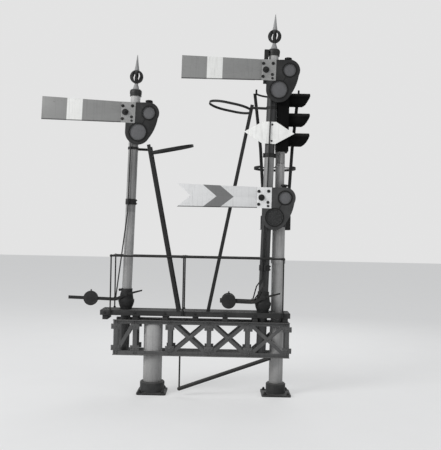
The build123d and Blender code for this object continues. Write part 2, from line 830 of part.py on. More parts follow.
# Down rods and balance levers
lever_sets = {
    "left": (-1, left_lever_reach, True),
    "home": (1, right_lever_reach, False),
    "distant": (-1, right_lever_reach, True),
}
arm_slot = arm_crank_r * (1 - cos(radians(arm_travel / 2))) + eye_slack
lever_slot = lever_crank_r * (1 - cos(radians(lever_travel / 2))) + eye_slack
lever_pin_x = -lever_crank_r * cos(radians(lever_pin_angle))
lever_pin_z = lever_pivot_height - lever_crank_r * sin(radians(lever_pin_angle))
for name, (face, reach, wire_arm) in lever_sets.items():
    frame, _, height, _ = arms[name]
    top_x = top_rod_x(name)
    top_z = height + arm_crank_r * sin(radians(arm_pin_angle))
    end_y = face * rod_y
    lever_pin = (lever_pin_x, end_y, lever_pin_z)
    guide_z = left_guide_height if name == "left" else right_guide_height
    kink_z = guide_z - kink_below_guide - (distant_kink_drop if name == "distant" else 0)
    route = [(top_x, -rod_y, top_z), (top_x, -rod_y, kink_z), lever_pin]
    if name == "home":
        route = [
            (top_x, -rod_y, top_z),
            (top_x, -rod_y, distant_spindle_height + home_rod_jog_high),
            (home_rod_low_x, -rod_y, distant_spindle_height + home_rod_jog_low),
            (home_rod_low_x, -rod_y, kink_z),
            (home_rod_bend_x, home_rod_bend_y, kink_z - home_rod_bend_drop),
            lever_pin,
        ]
    points = [frame.from_local_coords(point) for point in route]
    rod_ends = ((top_x, -rod_y, top_z, arm_slot, 1), (*lever_pin, lever_slot, -1))
    with BuildPart() as rod:
        for start, end in zip(points, points[1:]):
            with BuildSketch(Plane(origin=start, z_dir=end - start)):
                Circle(rod_r)
            extrude(amount=(end - start).length)
        with Locations(*points[1:-1]):
            Sphere(rod_r)
        for x, y, z, slot_length, toward in rod_ends:
            eye_x = x + toward * (slot_length / 2 + eye_slack - pin_gap)
            with BuildSketch(facing(frame, eye_x, y + eye_thick / 2, z)):
                SlotCenterToCenter(slot_length, 2 * (pin_r + eye_slack + eye_wall))
            extrude(amount=eye_thick)
        for x, y, z, slot_length, toward in rod_ends:
            eye_x = x + toward * (slot_length / 2 + eye_slack - pin_gap)
            with BuildSketch(facing(frame, eye_x, y + rod_r + 1, z)):
                SlotCenterToCenter(slot_length, 2 * (pin_r + eye_slack))
            extrude(amount=2 * rod_r + 2, mode=Mode.SUBTRACT)
    save(rod.part, f"{name}_down_rod")

    lever_y = face * (lever_back_y + lever_thick / 2)
    bar_z = lever_pivot_height - lever_bar_drop
    with BuildPart() as lever:
        with BuildSketch(facing(frame, 0, lever_y + lever_thick / 2, 0)):
            with Locations((0, lever_pivot_height)):
                Circle(lever_boss_r)
            with BuildLine():
                half = lever_plate_width / 2
                Polyline(
                    (0, lever_pivot_height + half),
                    (0, lever_pivot_height - half),
                    (-flange_r, bar_z - lever_bar_width / 2 + 6),
                    (-flange_r - 60, bar_z - lever_bar_width / 2),
                    (-reach, bar_z - lever_bar_width / 2),
                    (-reach, bar_z + lever_bar_width / 2),
                    (-flange_r - 20, bar_z + lever_bar_width / 2),
                    close=True,
                )
            make_face()
            if wire_arm:
                with BuildLine():
                    Polyline(
                        (0, lever_pivot_height + half),
                        (wire_arm_reach, lever_pivot_height + wire_arm_rise + half * 0.6),
                        (wire_arm_reach, lever_pivot_height + wire_arm_rise - half * 0.6),
                        (0, lever_pivot_height - half),
                        close=True,
                    )
                make_face()
            with Locations((0, lever_pivot_height)):
                Circle(lever_pivot_r + running_fit, mode=Mode.SUBTRACT)
        extrude(amount=lever_thick)
        pin_start = lever_y - face * lever_thick / 2
        pin_length = lever_back_y - abs(end_y) + eye_thick / 2 + 2
        with BuildSketch(facing(frame, lever_pin_x, pin_start, lever_pin_z)):
            Circle(pin_r)
        extrude(amount=face * pin_length)
    save(lever.part, f"{name}_lever")

    with BuildPart() as weight:
        with BuildSketch(facing(frame, -weight_distance, lever_y + weight_thick / 2, bar_z)):
            Circle(weight_r)
        extrude(amount=weight_thick)
        rims = weight.edges().filter_by(GeomType.CIRCLE)
        fillet(rims, 6)
        with BuildSketch(level(frame, -weight_distance, lever_y, bar_z + weight_r - 6)):
            Circle(10)
        extrude(amount=28)
        with BuildSketch(facing(frame, -weight_distance, lever_y + lever_thick / 2, bar_z)):
            Rectangle(3 * weight_r, lever_bar_width)
        extrude(amount=lever_thick, mode=Mode.SUBTRACT)
    save(weight.part, f"{name}_weight")

# Rod guides clamped to the dolls
guides = {
    "left": (left_doll, left_guide_height, [(top_rod_x("left"), -rod_y)]),
    "right": (right_doll, right_guide_height, [(top_rod_x("distant"), -rod_y), (home_rod_low_x, -rod_y)]),
}
for side, (frame, guide_z, rod_places) in guides.items():
    with BuildPart() as guide:
        with BuildSketch(level(frame, 0, 0, guide_z - guide_height / 2)):
            Circle(doll_r + band_thick)
            with Locations(*rod_places):
                Circle(rod_r + guide_gap + guide_wall)
            for rod_x, rod_place_y in rod_places:
                with BuildLine():
                    Polyline((0, -doll_r), (rod_x - 12, rod_place_y), (rod_x + 12, rod_place_y), close=True)
                make_face()
        extrude(amount=guide_height)
        with BuildSketch(level(frame, 0, 0, guide_z - guide_height / 2)):
            Circle(doll_r)
            with Locations(*rod_places):
                Circle(rod_r + guide_gap)
        extrude(amount=guide_height, mode=Mode.SUBTRACT)
    save(guide.part, f"{side}_rod_guide")

# Diamond plate on the right doll, bolted to two clamp bands; a wider clamp sits below it
diamond_back_y = doll_r + strap_thick
with BuildPart() as diamond_plate:
    with BuildSketch(facing(right_doll, diamond_offset_x, -diamond_back_y, diamond_centre_height)):
        with BuildLine():
            half_w = diamond_width / 2
            half_h = diamond_height / 2
            flat = diamond_flat / 2
            Polyline(
                (-half_w, 0),
                (-flat, -half_h),
                (flat, -half_h),
                (half_w, 0),
                (flat, half_h),
                (-flat, half_h),
                close=True,
            )
        make_face()
    extrude(amount=diamond_thick)
save(diamond_plate.part, "diamond_plate")

with BuildPart() as diamond_clamps:
    for up in (1, -1):
        clamp_z = diamond_centre_height + up * diamond_clamp_rise - diamond_clamp_height / 2
        with BuildSketch(level(right_doll, 0, 0, clamp_z)):
            Circle(doll_r + strap_thick)
            with Locations((0, -diamond_back_y / 2)):
                Rectangle(diamond_pad_width, diamond_back_y)
            Circle(doll_r, mode=Mode.SUBTRACT)
        extrude(amount=diamond_clamp_height)
    with BuildSketch(level(right_doll, 0, 0, low_clamp_height - low_clamp_band / 2)):
        Circle(doll_r + low_clamp_thick)
        Rectangle(2 * (doll_r + low_clamp_ear), 2 * low_clamp_ear)
        Circle(doll_r, mode=Mode.SUBTRACT)
    extrude(amount=low_clamp_band)
save(diamond_clamps.part, "diamond_clamps")

# Colour-light post, head, hoods and lenses
head_foot = light_post_height + light_neck_height
with BuildPart() as light_post:
    with BuildSketch(facing(light_base, 0, 0, 0)):
        with BuildLine():
            Polyline(
                (0, beam_top - deck_top),
                (light_post_r, beam_top - deck_top),
                (light_post_r, socket_level),
                (light_post_r + socket_wall, socket_level),
                (light_post_r + socket_wall, socket_level + socket_height),
                (light_post_r, socket_level + socket_height),
                (light_post_r, light_step_height),
                (light_post_top_r + 6, light_step_height + 40),
                (light_post_top_r, light_step_height + 60),
                (light_post_top_r, light_post_height - light_collar_height),
                (light_collar_r, light_post_height - light_collar_height),
                (light_collar_r, light_post_height),
                (neck_flange_r, light_post_height),
                (neck_flange_r, light_post_height + neck_flange_height),
                (light_neck_r, light_post_height + 2 * neck_flange_height),
                (light_neck_r, head_foot - neck_flange_height),
                (neck_flange_r, head_foot - neck_flange_height),
                (neck_flange_r, head_foot),
                (0, head_foot),
                close=True,
            )
        make_face()
    revolve(axis=up_axis(light_base))
    with BuildSketch(level(light_base, 0, 0, light_post_height + neck_flange_height)):
        Rectangle(2 * neck_flange_r, neck_gusset_thick)
        Rectangle(neck_gusset_thick, 2 * neck_flange_r)
    extrude(amount=light_neck_height - 2 * neck_flange_height)
    with BuildSketch(level(light_base, 0, 0, light_post_height + neck_flange_height)):
        Circle(2 * neck_flange_r)
        Circle(neck_flange_r, mode=Mode.SUBTRACT)
    extrude(amount=light_neck_height - 2 * neck_flange_height, mode=Mode.SUBTRACT)
save(light_post.part, "light_post")

with BuildPart() as light_head:
    with BuildSketch(level(light_base, head_offset_x, 0, head_foot)):
        RectangleRounded(head_width_x, head_width_y, 18)
    extrude(amount=head_height)
save(light_head.part, "light_head")

head_face_x = head_offset_x + head_width_x / 2
aspect_zs = [head_foot + head_height - top_aspect_below - n * aspect_spacing for n in range(aspect_count)]
hood_root = Plane((right_column_x + head_face_x, right_column_y, deck_top), x_dir=(0, 1, 0), z_dir=(1, 0, 0))
with BuildPart() as light_hoods:
    with BuildSketch(hood_root):
        for aspect_z in aspect_zs:
            with Locations((0, aspect_z)):
                Circle(hood_r)
                Circle(hood_r - hood_wall, mode=Mode.SUBTRACT)
    extrude(amount=hood_length)
    with BuildSketch(facing(light_base, 0, hood_r + 5, 0)):
        for aspect_z in aspect_zs:
            with BuildLine():
                Polyline(
                    (head_face_x + hood_length * 0.58, aspect_z - hood_r - 5),
                    (head_face_x + hood_length + 5, aspect_z - hood_r - 5),
                    (head_face_x + hood_length + 5, aspect_z + hood_r * 0.62),
                    (head_face_x + hood_length * 0.95, aspect_z + hood_r * 0.1),
                    (head_face_x + hood_length * 0.84, aspect_z - hood_r * 0.5),
                    (head_face_x + hood_length * 0.7, aspect_z - hood_r * 0.85),
                    close=True,
                )
            make_face()
    extrude(amount=2 * hood_r + 10, mode=Mode.SUBTRACT)
save(light_hoods.part, "light_hoods")

with BuildPart() as light_lenses:
    with BuildSketch(hood_root):
        for aspect_z in aspect_zs:
            with Locations((0, aspect_z)):
                Circle(aspect_lens_r)
    extrude(amount=10)
save(light_lenses.part, "light_lenses")


# Footplate behind the post, with a guard frame and a hoop above it
footplate_mid_x = (footplate_left + footplate_right) / 2
footplate_width = footplate_right - footplate_left
with BuildPart() as light_footplate:
    with BuildSketch(level(light_base, footplate_mid_x, footplate_front_y + footplate_depth / 2, footplate_height)):
        Rectangle(footplate_width, footplate_depth)
    extrude(amount=footplate_thick)
    with BuildSketch(level(light_base, footplate_mid_x, footplate_front_y + 6, footplate_height)):
        Rectangle(footplate_width, 12)
        with Locations(((footplate_width - 12) / 2, 90), (-(footplate_width - 12) / 2, 90)):
            Rectangle(12, 180)
    extrude(amount=footplate_rim)
    with BuildSketch(level(light_base, 0, 0, footplate_height + 40)):
        Circle(light_post_r + 14)
        with Locations((0, light_post_r / 2)):
            Rectangle(2 * light_post_r, light_post_r + 8)
        Circle(light_post_r, mode=Mode.SUBTRACT)
    extrude(amount=110)
save(light_footplate.part, "light_footplate")

with BuildPart() as light_guard:
    with BuildSketch(facing(light_base, 0, guard_y + guard_thick, 0)):
        for bar_line in (guard_left, guard_right):
            outer = [(x - guard_width / 2, z) for x, z in bar_line]
            inner_line = [(x + guard_width / 2, z) for x, z in bar_line]
            with BuildLine():
                Polyline(*outer, *reversed(inner_line), close=True)
            make_face()
    extrude(amount=guard_thick)
    guard_bar_start = guard_left[-1][0] + 22
    guard_bar_end = guard_right[-1][0] + 8
    bar_y = guard_y + guard_thick / 2
    with BuildLine(level(light_base, 0, bar_y, guard_bar_height)):
        bar_line = ThreePointArc(
            (guard_bar_start, 0),
            ((guard_bar_start + guard_bar_end) / 2, guard_bar_bow),
            (guard_bar_end, 0),
        )
    with BuildSketch(Plane(origin=bar_line @ 0, z_dir=bar_line % 0)):
        Circle(guard_bar_r)
    sweep(path=bar_line)
    for horn_x in (guard_bar_start, guard_bar_end):
        with BuildSketch(level(light_base, horn_x, bar_y, guard_bar_height)):
            Circle(guard_bar_r)
        extrude(amount=guard_horn)
        with Locations((right_column_x + horn_x, right_column_y + bar_y, deck_top + guard_bar_height)):
            Sphere(guard_bar_r)
save(light_guard.part, "light_guard")

guard_hoop_mid_x = (guard_left[2][0] + guard_right[2][0]) / 2
hoop_centre_y = (guard_hoop_r**2 - guard_hoop_half_front**2) ** 0.5
hoop_plane = level(light_base, guard_hoop_mid_x, guard_y + guard_thick, guard_hoop_height)
with BuildPart() as light_hoop:
    with BuildSketch(hoop_plane):
        with Locations((0, hoop_centre_y)):
            Circle(guard_hoop_r)
            Circle(guard_hoop_r - hoop_thick, mode=Mode.SUBTRACT)
        with Locations((0, -guard_hoop_r)):
            Rectangle(3 * guard_hoop_r, 2 * guard_hoop_r, mode=Mode.SUBTRACT)
    extrude(amount=hoop_band)
    with BuildSketch(hoop_plane):
        with Locations((0, hoop_thick / 2)):
            Rectangle(2 * guard_hoop_half_front, hoop_thick)
    extrude(amount=guard_hoop_front_band)
save(light_hoop.part, "light_hoop")

# Ladders that lean from the dolls to the middle of the deck, each with a hoop
ladders = {
    "left": (
        (left_ladder_foot_x, left_ladder_y, deck_top),
        (left_ladder_top_x, left_ladder_y + left_ladder_lean_back, deck_top + left_ladder_top),
        (1, left_hoop_below_top, left_hoop_tilt),
    ),
    "right": (
        (right_ladder_foot_x, right_ladder_y, deck_top),
        (right_ladder_top_x, right_ladder_y + right_ladder_lean_back, deck_top + right_ladder_top),
        (-1, right_hoop_below_top, right_hoop_tilt),
    ),
}
round_end_x = stile_width / 2 + hoop_depth - hoop_half_width
stile_face = ladder_half_width + stile_thick / 2
round_start_x = stile_width / 2 + (hoop_half_width**2 - stile_face**2) ** 0.5
for side, (ladder_foot, ladder_top, (hoop_side, hoop_below_top, hoop_tilt)) in ladders.items():
    way = Vector(ladder_top) - Vector(ladder_foot)
    stand = Plane(origin=ladder_foot, x_dir=(way.Z, 0, -way.X), z_dir=way)
    ladder_length = way.length
    with BuildPart() as ladder:
        with BuildSketch(level(stand, z=-stile_width)):
            with GridLocations(0, 2 * ladder_half_width, 1, 2):
                Rectangle(stile_width, stile_thick)
        extrude(amount=ladder_length + stile_width)
        rung_z = rung_pitch * 0.8
        while rung_z < ladder_length - rung_pitch / 4:
            with BuildSketch(facing(stand, 0, ladder_half_width, rung_z)):
                Circle(rung_r)
            extrude(amount=2 * ladder_half_width)
            rung_z += rung_pitch
        split(bisect_by=Plane.XY.offset(deck_top), keep=Keep.TOP)
    save(ladder.part, f"{side}_ladder")

    hoop_seat = stand.location * Location((0, 0, ladder_length - hoop_below_top - hoop_band), (hoop_tilt, 0, 0))
    with BuildPart() as hoop:
        with BuildSketch(Plane(hoop_seat)):
            for reach_r, mode in ((hoop_half_width, Mode.ADD), (hoop_half_width - hoop_thick, Mode.SUBTRACT)):
                with Locations((hoop_side * round_start_x, 0), (hoop_side * round_end_x, 0)):
                    Circle(reach_r, mode=mode)
                with Locations((hoop_side * (round_start_x + round_end_x) / 2, 0)):
                    Rectangle(round_end_x - round_start_x, 2 * reach_r, mode=mode)
            with Locations((hoop_side * (stile_width / 2 - hoop_half_width), 0)):
                Rectangle(2 * hoop_half_width, 3 * hoop_half_width, mode=Mode.SUBTRACT)
        extrude(amount=hoop_band)
    save(hoop.part, f"{side}_ladder_hoop")

# Stays from the ladders' heads to clamps on the dolls
with BuildPart() as ladder_stays:
    for side, frame in (("left", left_doll), ("right", right_doll)):
        ladder_foot, ladder_top = ladders[side][:2]
        way = (Vector(ladder_top) - Vector(ladder_foot)).normalized()
        head = frame.to_local_coords(Vector(ladder_top) - way * stay_below_top)
        near_stile_y = min(head.Y - ladder_half_width, head.Y + ladder_half_width, key=abs)
        stile_slack = pin_gap + stay_band / 2 * abs(way.Y) / way.Z
        bar_y = near_stile_y - copysign((stile_thick + stay_thick) / 2 + stile_slack, near_stile_y)
        with BuildSketch(level(frame, 0, 0, head.Z - stay_band / 2)):
            with Locations((head.X / 2, bar_y)):
                Rectangle(abs(head.X), stay_thick)
            Circle(doll_r + stay_clamp_thick)
            Circle(doll_r, mode=Mode.SUBTRACT)
        extrude(amount=stay_band)
save(ladder_stays.part, "ladder_stays")
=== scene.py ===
"""Looks of a railway signal gantry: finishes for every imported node, and the fittings around them."""
import json
import logging
import math
from dataclasses import dataclass, field
from enum import Enum
from itertools import product
from typing import Callable, Union

import bmesh
import bpy
from mathutils import Matrix, Vector


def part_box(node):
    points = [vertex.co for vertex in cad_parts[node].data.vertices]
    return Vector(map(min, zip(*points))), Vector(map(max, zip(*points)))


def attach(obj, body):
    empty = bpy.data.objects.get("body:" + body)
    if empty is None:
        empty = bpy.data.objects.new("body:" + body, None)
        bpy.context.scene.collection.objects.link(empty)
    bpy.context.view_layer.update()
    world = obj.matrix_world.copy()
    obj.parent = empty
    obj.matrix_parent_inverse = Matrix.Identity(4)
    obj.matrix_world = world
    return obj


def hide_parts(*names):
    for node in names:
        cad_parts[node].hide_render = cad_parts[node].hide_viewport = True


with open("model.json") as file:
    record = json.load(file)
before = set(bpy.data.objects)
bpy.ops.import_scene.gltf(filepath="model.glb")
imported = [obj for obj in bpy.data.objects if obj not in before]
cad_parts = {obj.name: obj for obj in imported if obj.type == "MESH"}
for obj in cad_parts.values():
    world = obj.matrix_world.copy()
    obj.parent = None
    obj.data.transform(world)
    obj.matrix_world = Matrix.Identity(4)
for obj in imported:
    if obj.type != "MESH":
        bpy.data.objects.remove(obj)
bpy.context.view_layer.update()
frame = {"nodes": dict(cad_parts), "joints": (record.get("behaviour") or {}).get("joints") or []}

LOG = logging.getLogger("gantry")
UP, FRONT, RIGHT = Vector((0, 0, 1)), Vector((0, -1, 0)), Vector((1, 0, 0))
SIDES = (-1, 1)
ROOT = "gantry"
SHARP_FROM = math.radians(38)
BEVEL_FROM = 0.6
WELD_REACH = 1e-6
# Shares of a nut's width across its flats
WASHER_R, WASHER_THICK, HEX_R, BOLT_END = 0.95, 0.16, 0.577, 0.28
# Shares of a rivet's radius
MIDDLE_HIGH, MIDDLE_R, CROWN_HIGH, CROWN_R = 0.35, 0.86, 0.68, 0.42
Size = tuple[float, float, float]
GREY = Size
Outline = list[tuple[float, float]]
Material = bpy.types.Material
Value = Union["Wire", float]
Tone = Union["Wire", GREY]


def vec(*parts: float) -> Vector:
    """A vector from its parts."""
    return Vector(parts)


def grey(level: float, warmth: float = 0.0) -> GREY:
    """A near-neutral colour of one lightness, a little warm or cool."""
    return (level * (1 + warmth), level, level * (1 - warmth))


def shade(colour: GREY, factor: float) -> GREY:
    """A plain colour made lighter or darker."""
    return tuple(factor * part for part in colour)


def show(name: str, data: bpy.types.ID, matrix: Matrix | None = None) -> bpy.types.Object:
    """Makes an object from its data and links it into the scene."""
    made = bpy.data.objects.new(name, data)
    made.matrix_world = matrix or Matrix.Identity(4)
    bpy.context.scene.collection.objects.link(made)
    return made


def aim(place: Vector | Size, direction: Vector, turn: float = 0.0) -> Matrix:
    """Matrix that stands a shape's own upright axis along a direction at a place."""
    spin = direction.normalized().to_track_quat("Z", "Y").to_matrix().to_4x4()
    return Matrix.Translation(place) @ spin @ Matrix.Rotation(turn, 4, "Z")


def math_node(kind: str, swapped: bool = False) -> Callable[..., "Wire"]:
    """Makes a method of Wire that adds one Math node; swapped puts the other value first."""

    def act(self: "Wire", other: Value = 0.0) -> "Wire":
        """Joins both values by a Math node."""
        pair = {0: other, 1: self} if swapped else {0: self, 1: other}
        return self.graph.add("Math", pair, operation=kind)

    return act


@dataclass(frozen=True, eq=False)
class Wire:
    """One shader socket that takes part in sums written as Python expressions."""

    graph: "Graph"
    socket: bpy.types.NodeSocket

    __add__ = __radd__ = math_node("ADD")
    __sub__ = math_node("SUBTRACT")
    __rsub__ = math_node("SUBTRACT", swapped=True)
    __mul__ = __rmul__ = math_node("MULTIPLY")
    __truediv__ = math_node("DIVIDE")
    __abs__ = math_node("ABSOLUTE")
    lower = math_node("MINIMUM")
    higher = math_node("MAXIMUM")
    floor = math_node("FLOOR")
    root = math_node("SQRT")

    def above(self, edge: float, soft: float) -> "Wire":
        """Rises from 0 to 1 as the value passes an edge, over a width of twice soft."""
        ends = {"Value": self, "From Min": edge - soft, "From Max": edge + soft}
        return self.graph.add("MapRange", ends, interpolation_type="SMOOTHSTEP")

    def below(self, edge: float, soft: float) -> "Wire":
        """Falls from 1 to 0 as the value passes an edge."""
        return 1.0 - self.above(edge, soft)

    def within(self, low: float, high: float, soft: float) -> "Wire":
        """1 between two edges."""
        return self.above(low, soft) * self.below(high, soft)


class Graph:
    """The node tree of a material or of the world."""

    def __init__(self, owner: Material | bpy.types.World) -> None:
        """Finds the main shader: Principled in a material, Background in the world."""
        owner.use_nodes = True
        self.owner = owner
        self.tree = owner.node_tree
        self.shader = self.tree.nodes.get("Principled BSDF") or self.tree.nodes["Background"]
        self.place = self.add("TexCoord", {}, "Object")

    def add(self, kind: str, inputs: dict, output: str | int = 0, **settings: str) -> Wire:
        """Adds any node.

        Args:
            kind: Blender's node type, without the word ShaderNode before it.
            inputs: Value or wire for each socket, by name or number.
            output: Which output to return.
            settings: Properties that are set before the sockets.

        Returns:
            The chosen output as a wire.
        """
        node = self.tree.nodes.new(f"ShaderNode{kind}")
        for key, value in settings.items():
            setattr(node, key, value)
        for key, value in inputs.items():
            self.feed(node.inputs[key], value)
        return Wire(self, node.outputs[output])

    def feed(self, socket: bpy.types.NodeSocket, value: Value | tuple) -> None:
        """Links a wire to a socket or sets a plain value on it."""
        if isinstance(value, Wire):
            self.tree.links.new(value.socket, socket)
        else:
            socket.default_value = (*value, 1.0) if socket.type == "RGBA" else value

    def vector(self, kind: str, first: Wire, second: Tone, output: str | int = 0) -> Wire:
        """Adds one Vector Math node."""
        return self.add("VectorMath", {0: first, 1: second}, output, operation=kind)

    def stretched(self, x: float, y: float, z: float) -> Wire:
        """Object coordinates scaled by a different number along each axis."""
        return self.vector("MULTIPLY", self.place, (x, y, z))

    def along(self, origin: Vector, direction: Vector) -> Wire:
        """Distance from an origin along a direction, in metres."""
        offset = self.vector("SUBTRACT", self.place, tuple(origin))
        return self.vector("DOT_PRODUCT", offset, tuple(direction), "Value")

    def noise(self, scale: float, detail: float = 5.0, rough: float = 0.6, where: Wire | None = None) -> Wire:
        """Fractal noise from 0 to 1."""
        inputs = {"Vector": where or self.place, "Scale": scale, "Detail": detail, "Roughness": rough}
        return self.add("TexNoise", inputs, "Fac")

    def runs(self, across: float, down: float) -> Wire:
        """Noise drawn out into upright streaks."""
        return self.noise(1.0, where=self.stretched(across, across, down))

    def cells(self, where: Wire, scale: float) -> Wire:
        """Distance from the nearest of many scattered points."""
        return self.add("TexVoronoi", {"Vector": where, "Scale": scale}, "Distance")

    def mix(self, first: Tone, second: Tone, share: Value) -> Wire:
        """Blends two colours; share 0 gives the first."""
        return self.add("Mix", {0: share, 6: first, 7: second}, 2, data_type="RGBA")

    def coats(self, base: Tone, *coats: tuple[Tone, Value]) -> Wire:
        """Lays coats over a colour in turn, each given as its colour and its share."""
        for colour, share in coats:
            base = self.mix(base, colour, share)
        return base

    def scaled(self, colour: Wire, factor: Value) -> Wire:
        """A wired colour made lighter or darker by a factor."""
        return self.add("VectorMath", {0: colour, "Scale": factor}, operation="SCALE")

    def facing_up(self) -> Wire:
        """1 on faces that look at the sky, 0 on walls."""
        normal = self.add("NewGeometry", {}, "Normal")
        return self.add("SeparateXYZ", {0: normal}, "Z").above(0.55, 0.35)

    def bump(self, height: Wire, depth: float, strength: float) -> Wire:
        """Normal from a height, where depth is in metres."""
        return self.add("Bump", {"Height": height, "Distance": depth, "Strength": strength}, "Normal")

    def finish(self, **sockets: Value | tuple) -> Material:
        """Feeds the main shader; underscores in names stand for spaces."""
        for key, value in sockets.items():
            self.feed(self.shader.inputs[key.replace("_", " ")], value)
        return self.owner

    def surface(self, base: Wire, rough: Wire, relief: Wire, depth: float, strength: float, **more: float) -> Material:
        """Feeds colour, roughness and a bump from a relief."""
        return self.finish(Base_Color=base, Roughness=rough, Normal=self.bump(relief, depth, strength), **more)

    def to_camera(self, other: Wire, share: float = 1.0) -> None:
        """Shows the camera another shader in place of the main one, wholly or by a share."""
        seen = self.add("LightPath", {}, "Is Camera Ray") * share
        both = {0: seen, 1: Wire(self, self.shader.outputs[0]), 2: other}
        output = next(node for node in self.tree.nodes if node.type.startswith("OUTPUT"))
        self.feed(output.inputs["Surface"], self.add("MixShader", both))


@dataclass(frozen=True)
class Finish:
    """A surface finish; each kind builds its own nodes and is made once."""

    name: str

    def material(self) -> Material:
        """The finish's material, made on first use."""
        title = f"{self.name}_finish"
        return bpy.data.materials.get(title) or self.build(Graph(bpy.data.materials.new(title)))

    def build(self, graph: Graph) -> Material:
        """Adds the nodes of this kind of finish.

        Args:
            graph: The new material's nodes.

        Returns:
            The finished material.
        """
        raise NotImplementedError


@dataclass(frozen=True)
class Paint(Finish):
    """Old oil paint on steel or iron: runs, chips down to rust, soot and dust."""

    colour: GREY
    chips: float = 0.2
    streaks: float = 0.4
    dust: float = 0.3
    gloss: float = 0.55
    shine: float = 0.5
    rust: GREY = (0.075, 0.058, 0.048)
    settled: GREY = grey(0.30, 0.03)
    grime: GREY = grey(0.07, 0.06)
    grime_floor: float = -10.0
    grime_reach: float = 0.45
    bands: tuple[tuple[float, float, GREY], ...] = ()

    def build(self, graph: Graph) -> Material:
        """Layers paint in its bands, vertical runs, chips and dust."""
        broad = graph.noise(2.6)
        fine = graph.noise(46.0, 6.0, 0.65)
        orange_peel = graph.noise(210.0, 3.0, 0.5)
        height = graph.add("SeparateXYZ", {0: graph.place}, "Z")
        ground = graph.mix(self.colour, self.colour, 0.0)
        for low, high, colour in self.bands:
            ground = graph.mix(ground, colour, height.within(low, high, 0.003))
        worn = graph.scaled(ground, (broad * 0.65 + fine * 0.35).above(0.5, 0.26) * 0.52 + 0.68)
        run = graph.runs(34.0, 1.3).above(0.56, 0.13) * self.streaks
        flaking = fine * 0.62 + broad * 0.38
        chip = flaking.above(0.66 - 0.10 * self.chips, 0.022) * min(1.0, 2.2 * self.chips)
        halo = flaking.above(0.61 - 0.10 * self.chips, 0.06) * (0.5 * self.chips)
        dust = graph.facing_up() * (fine * 0.6 + 0.4) * self.dust
        foot = (1.0 - (height - self.grime_floor) / self.grime_reach).higher(0.0).lower(1.0)
        base = graph.coats(
            worn,
            (graph.scaled(ground, 0.45), run),
            (self.rust, chip),
            (graph.mix(self.rust, ground, 0.3), halo),
            (self.settled, dust),
            (self.grime, foot * broad.above(0.42, 0.2) * 0.55),
        )
        rough = (fine * 0.22 + chip * 0.35 + dust * 0.25 + (self.gloss - 0.11)).lower(0.97)
        relief = orange_peel * 0.25 + fine * 0.45 - chip * 0.9 - run * 0.15
        return graph.surface(base, rough, relief, 0.0011, 0.8, Specular_IOR_Level=self.shine)


@dataclass(frozen=True)
class Iron(Finish):
    """Sand-cast iron under thin black paint, pitted and dusty."""

    colour: GREY = grey(0.014)
    worn: GREY = grey(0.05)
    bloom: GREY = (0.085, 0.062, 0.05)
    settled: GREY = grey(0.27, 0.03)
    rust: float = 0.25
    dust: float = 0.3
    shine: float = 0.25

    def build(self, graph: Graph) -> Material:
        """Layers cast skin, rust bloom and dust."""
        broad = graph.noise(5.5)
        grit = graph.noise(120.0, 4.0, 0.7)
        bloom = (broad * 0.7 + grit * 0.3).above(0.62, 0.07) * self.rust
        dust = graph.facing_up() * (grit * 0.7 + 0.3) * self.dust
        base = graph.coats(
            self.colour,
            (self.worn, (broad * 0.55 + grit * 0.45).above(0.56, 0.17) * 0.75),
            (self.bloom, bloom),
            (self.settled, dust),
        )
        rough = grit * 0.3 + dust * 0.25 + bloom * 0.2 + 0.42
        relief = grit * 0.6 + broad * 0.3 + graph.cells(graph.place, 85.0).above(0.22, 0.2) * 0.6
        return graph.surface(base, rough, relief, 0.0016, 0.9, Specular_IOR_Level=self.shine)


@dataclass(frozen=True)
class Timber(Finish):
    """Weathered planks with splits, knots and a tone for each board."""

    pale: GREY = grey(0.045, 0.01)
    dark: GREY = grey(0.012)
    board_pitch: float = 0.116
    lengthwise: bool = True

    def build(self, graph: Graph) -> Material:
        """Draws the grain and tints each board."""
        drawn = graph.stretched(1.4, 30.0, 30.0) if self.lengthwise else graph.stretched(30.0, 1.4, 30.0)
        fibre = graph.noise(1.0, 8.0, 0.72, drawn)
        thread = graph.noise(3.4, 6.0, 0.7, drawn)
        broad = graph.noise(2.2, 4.0, 0.5)
        lane = graph.along(Vector(), -FRONT if self.lengthwise else RIGHT) / self.board_pitch
        board = (lane + 0.5).floor()
        tint = graph.add("TexWhiteNoise", {"W": board}, "Value", noise_dimensions="1D")
        knot = graph.cells(graph.stretched(1.3, 6.0, 6.0), 1.0).below(0.085, 0.045)
        split = thread.above(0.66, 0.03)
        base = graph.coats(
            self.dark,
            (self.pale, (fibre * 0.55 + thread * 0.25 + tint * 0.22).above(0.5, 0.22)),
            (shade(self.dark, 0.45), knot * 0.8),
            (grey(0.03), split * 0.7),
            (grey(0.09, 0.02), broad.above(0.6, 0.12) * 0.4),
        )
        return graph.surface(base, fibre * 0.12 + 0.78, fibre * 0.8 + thread * 0.5 - split * 1.2, 0.0022, 0.9)


class Marking(Enum):
    """What is painted on a semaphore arm."""

    STRIPE = "upright stripe near the tip"
    CHEVRON = "chevron that points at the spindle"


@dataclass(frozen=True)
class ArmPaint(Finish):
    """Paint whose edges follow an arm."""

    spindle: Vector
    toward_tip: Vector

    def reach(self, graph: Graph) -> Wire:
        """Distance from the spindle toward the tip."""
        return graph.along(self.spindle, self.toward_tip)

    def drop(self, graph: Graph) -> Wire:
        """Distance below the arm's middle line."""
        return graph.along(self.spindle, vec(-self.toward_tip.z, 0.0, self.toward_tip.x))


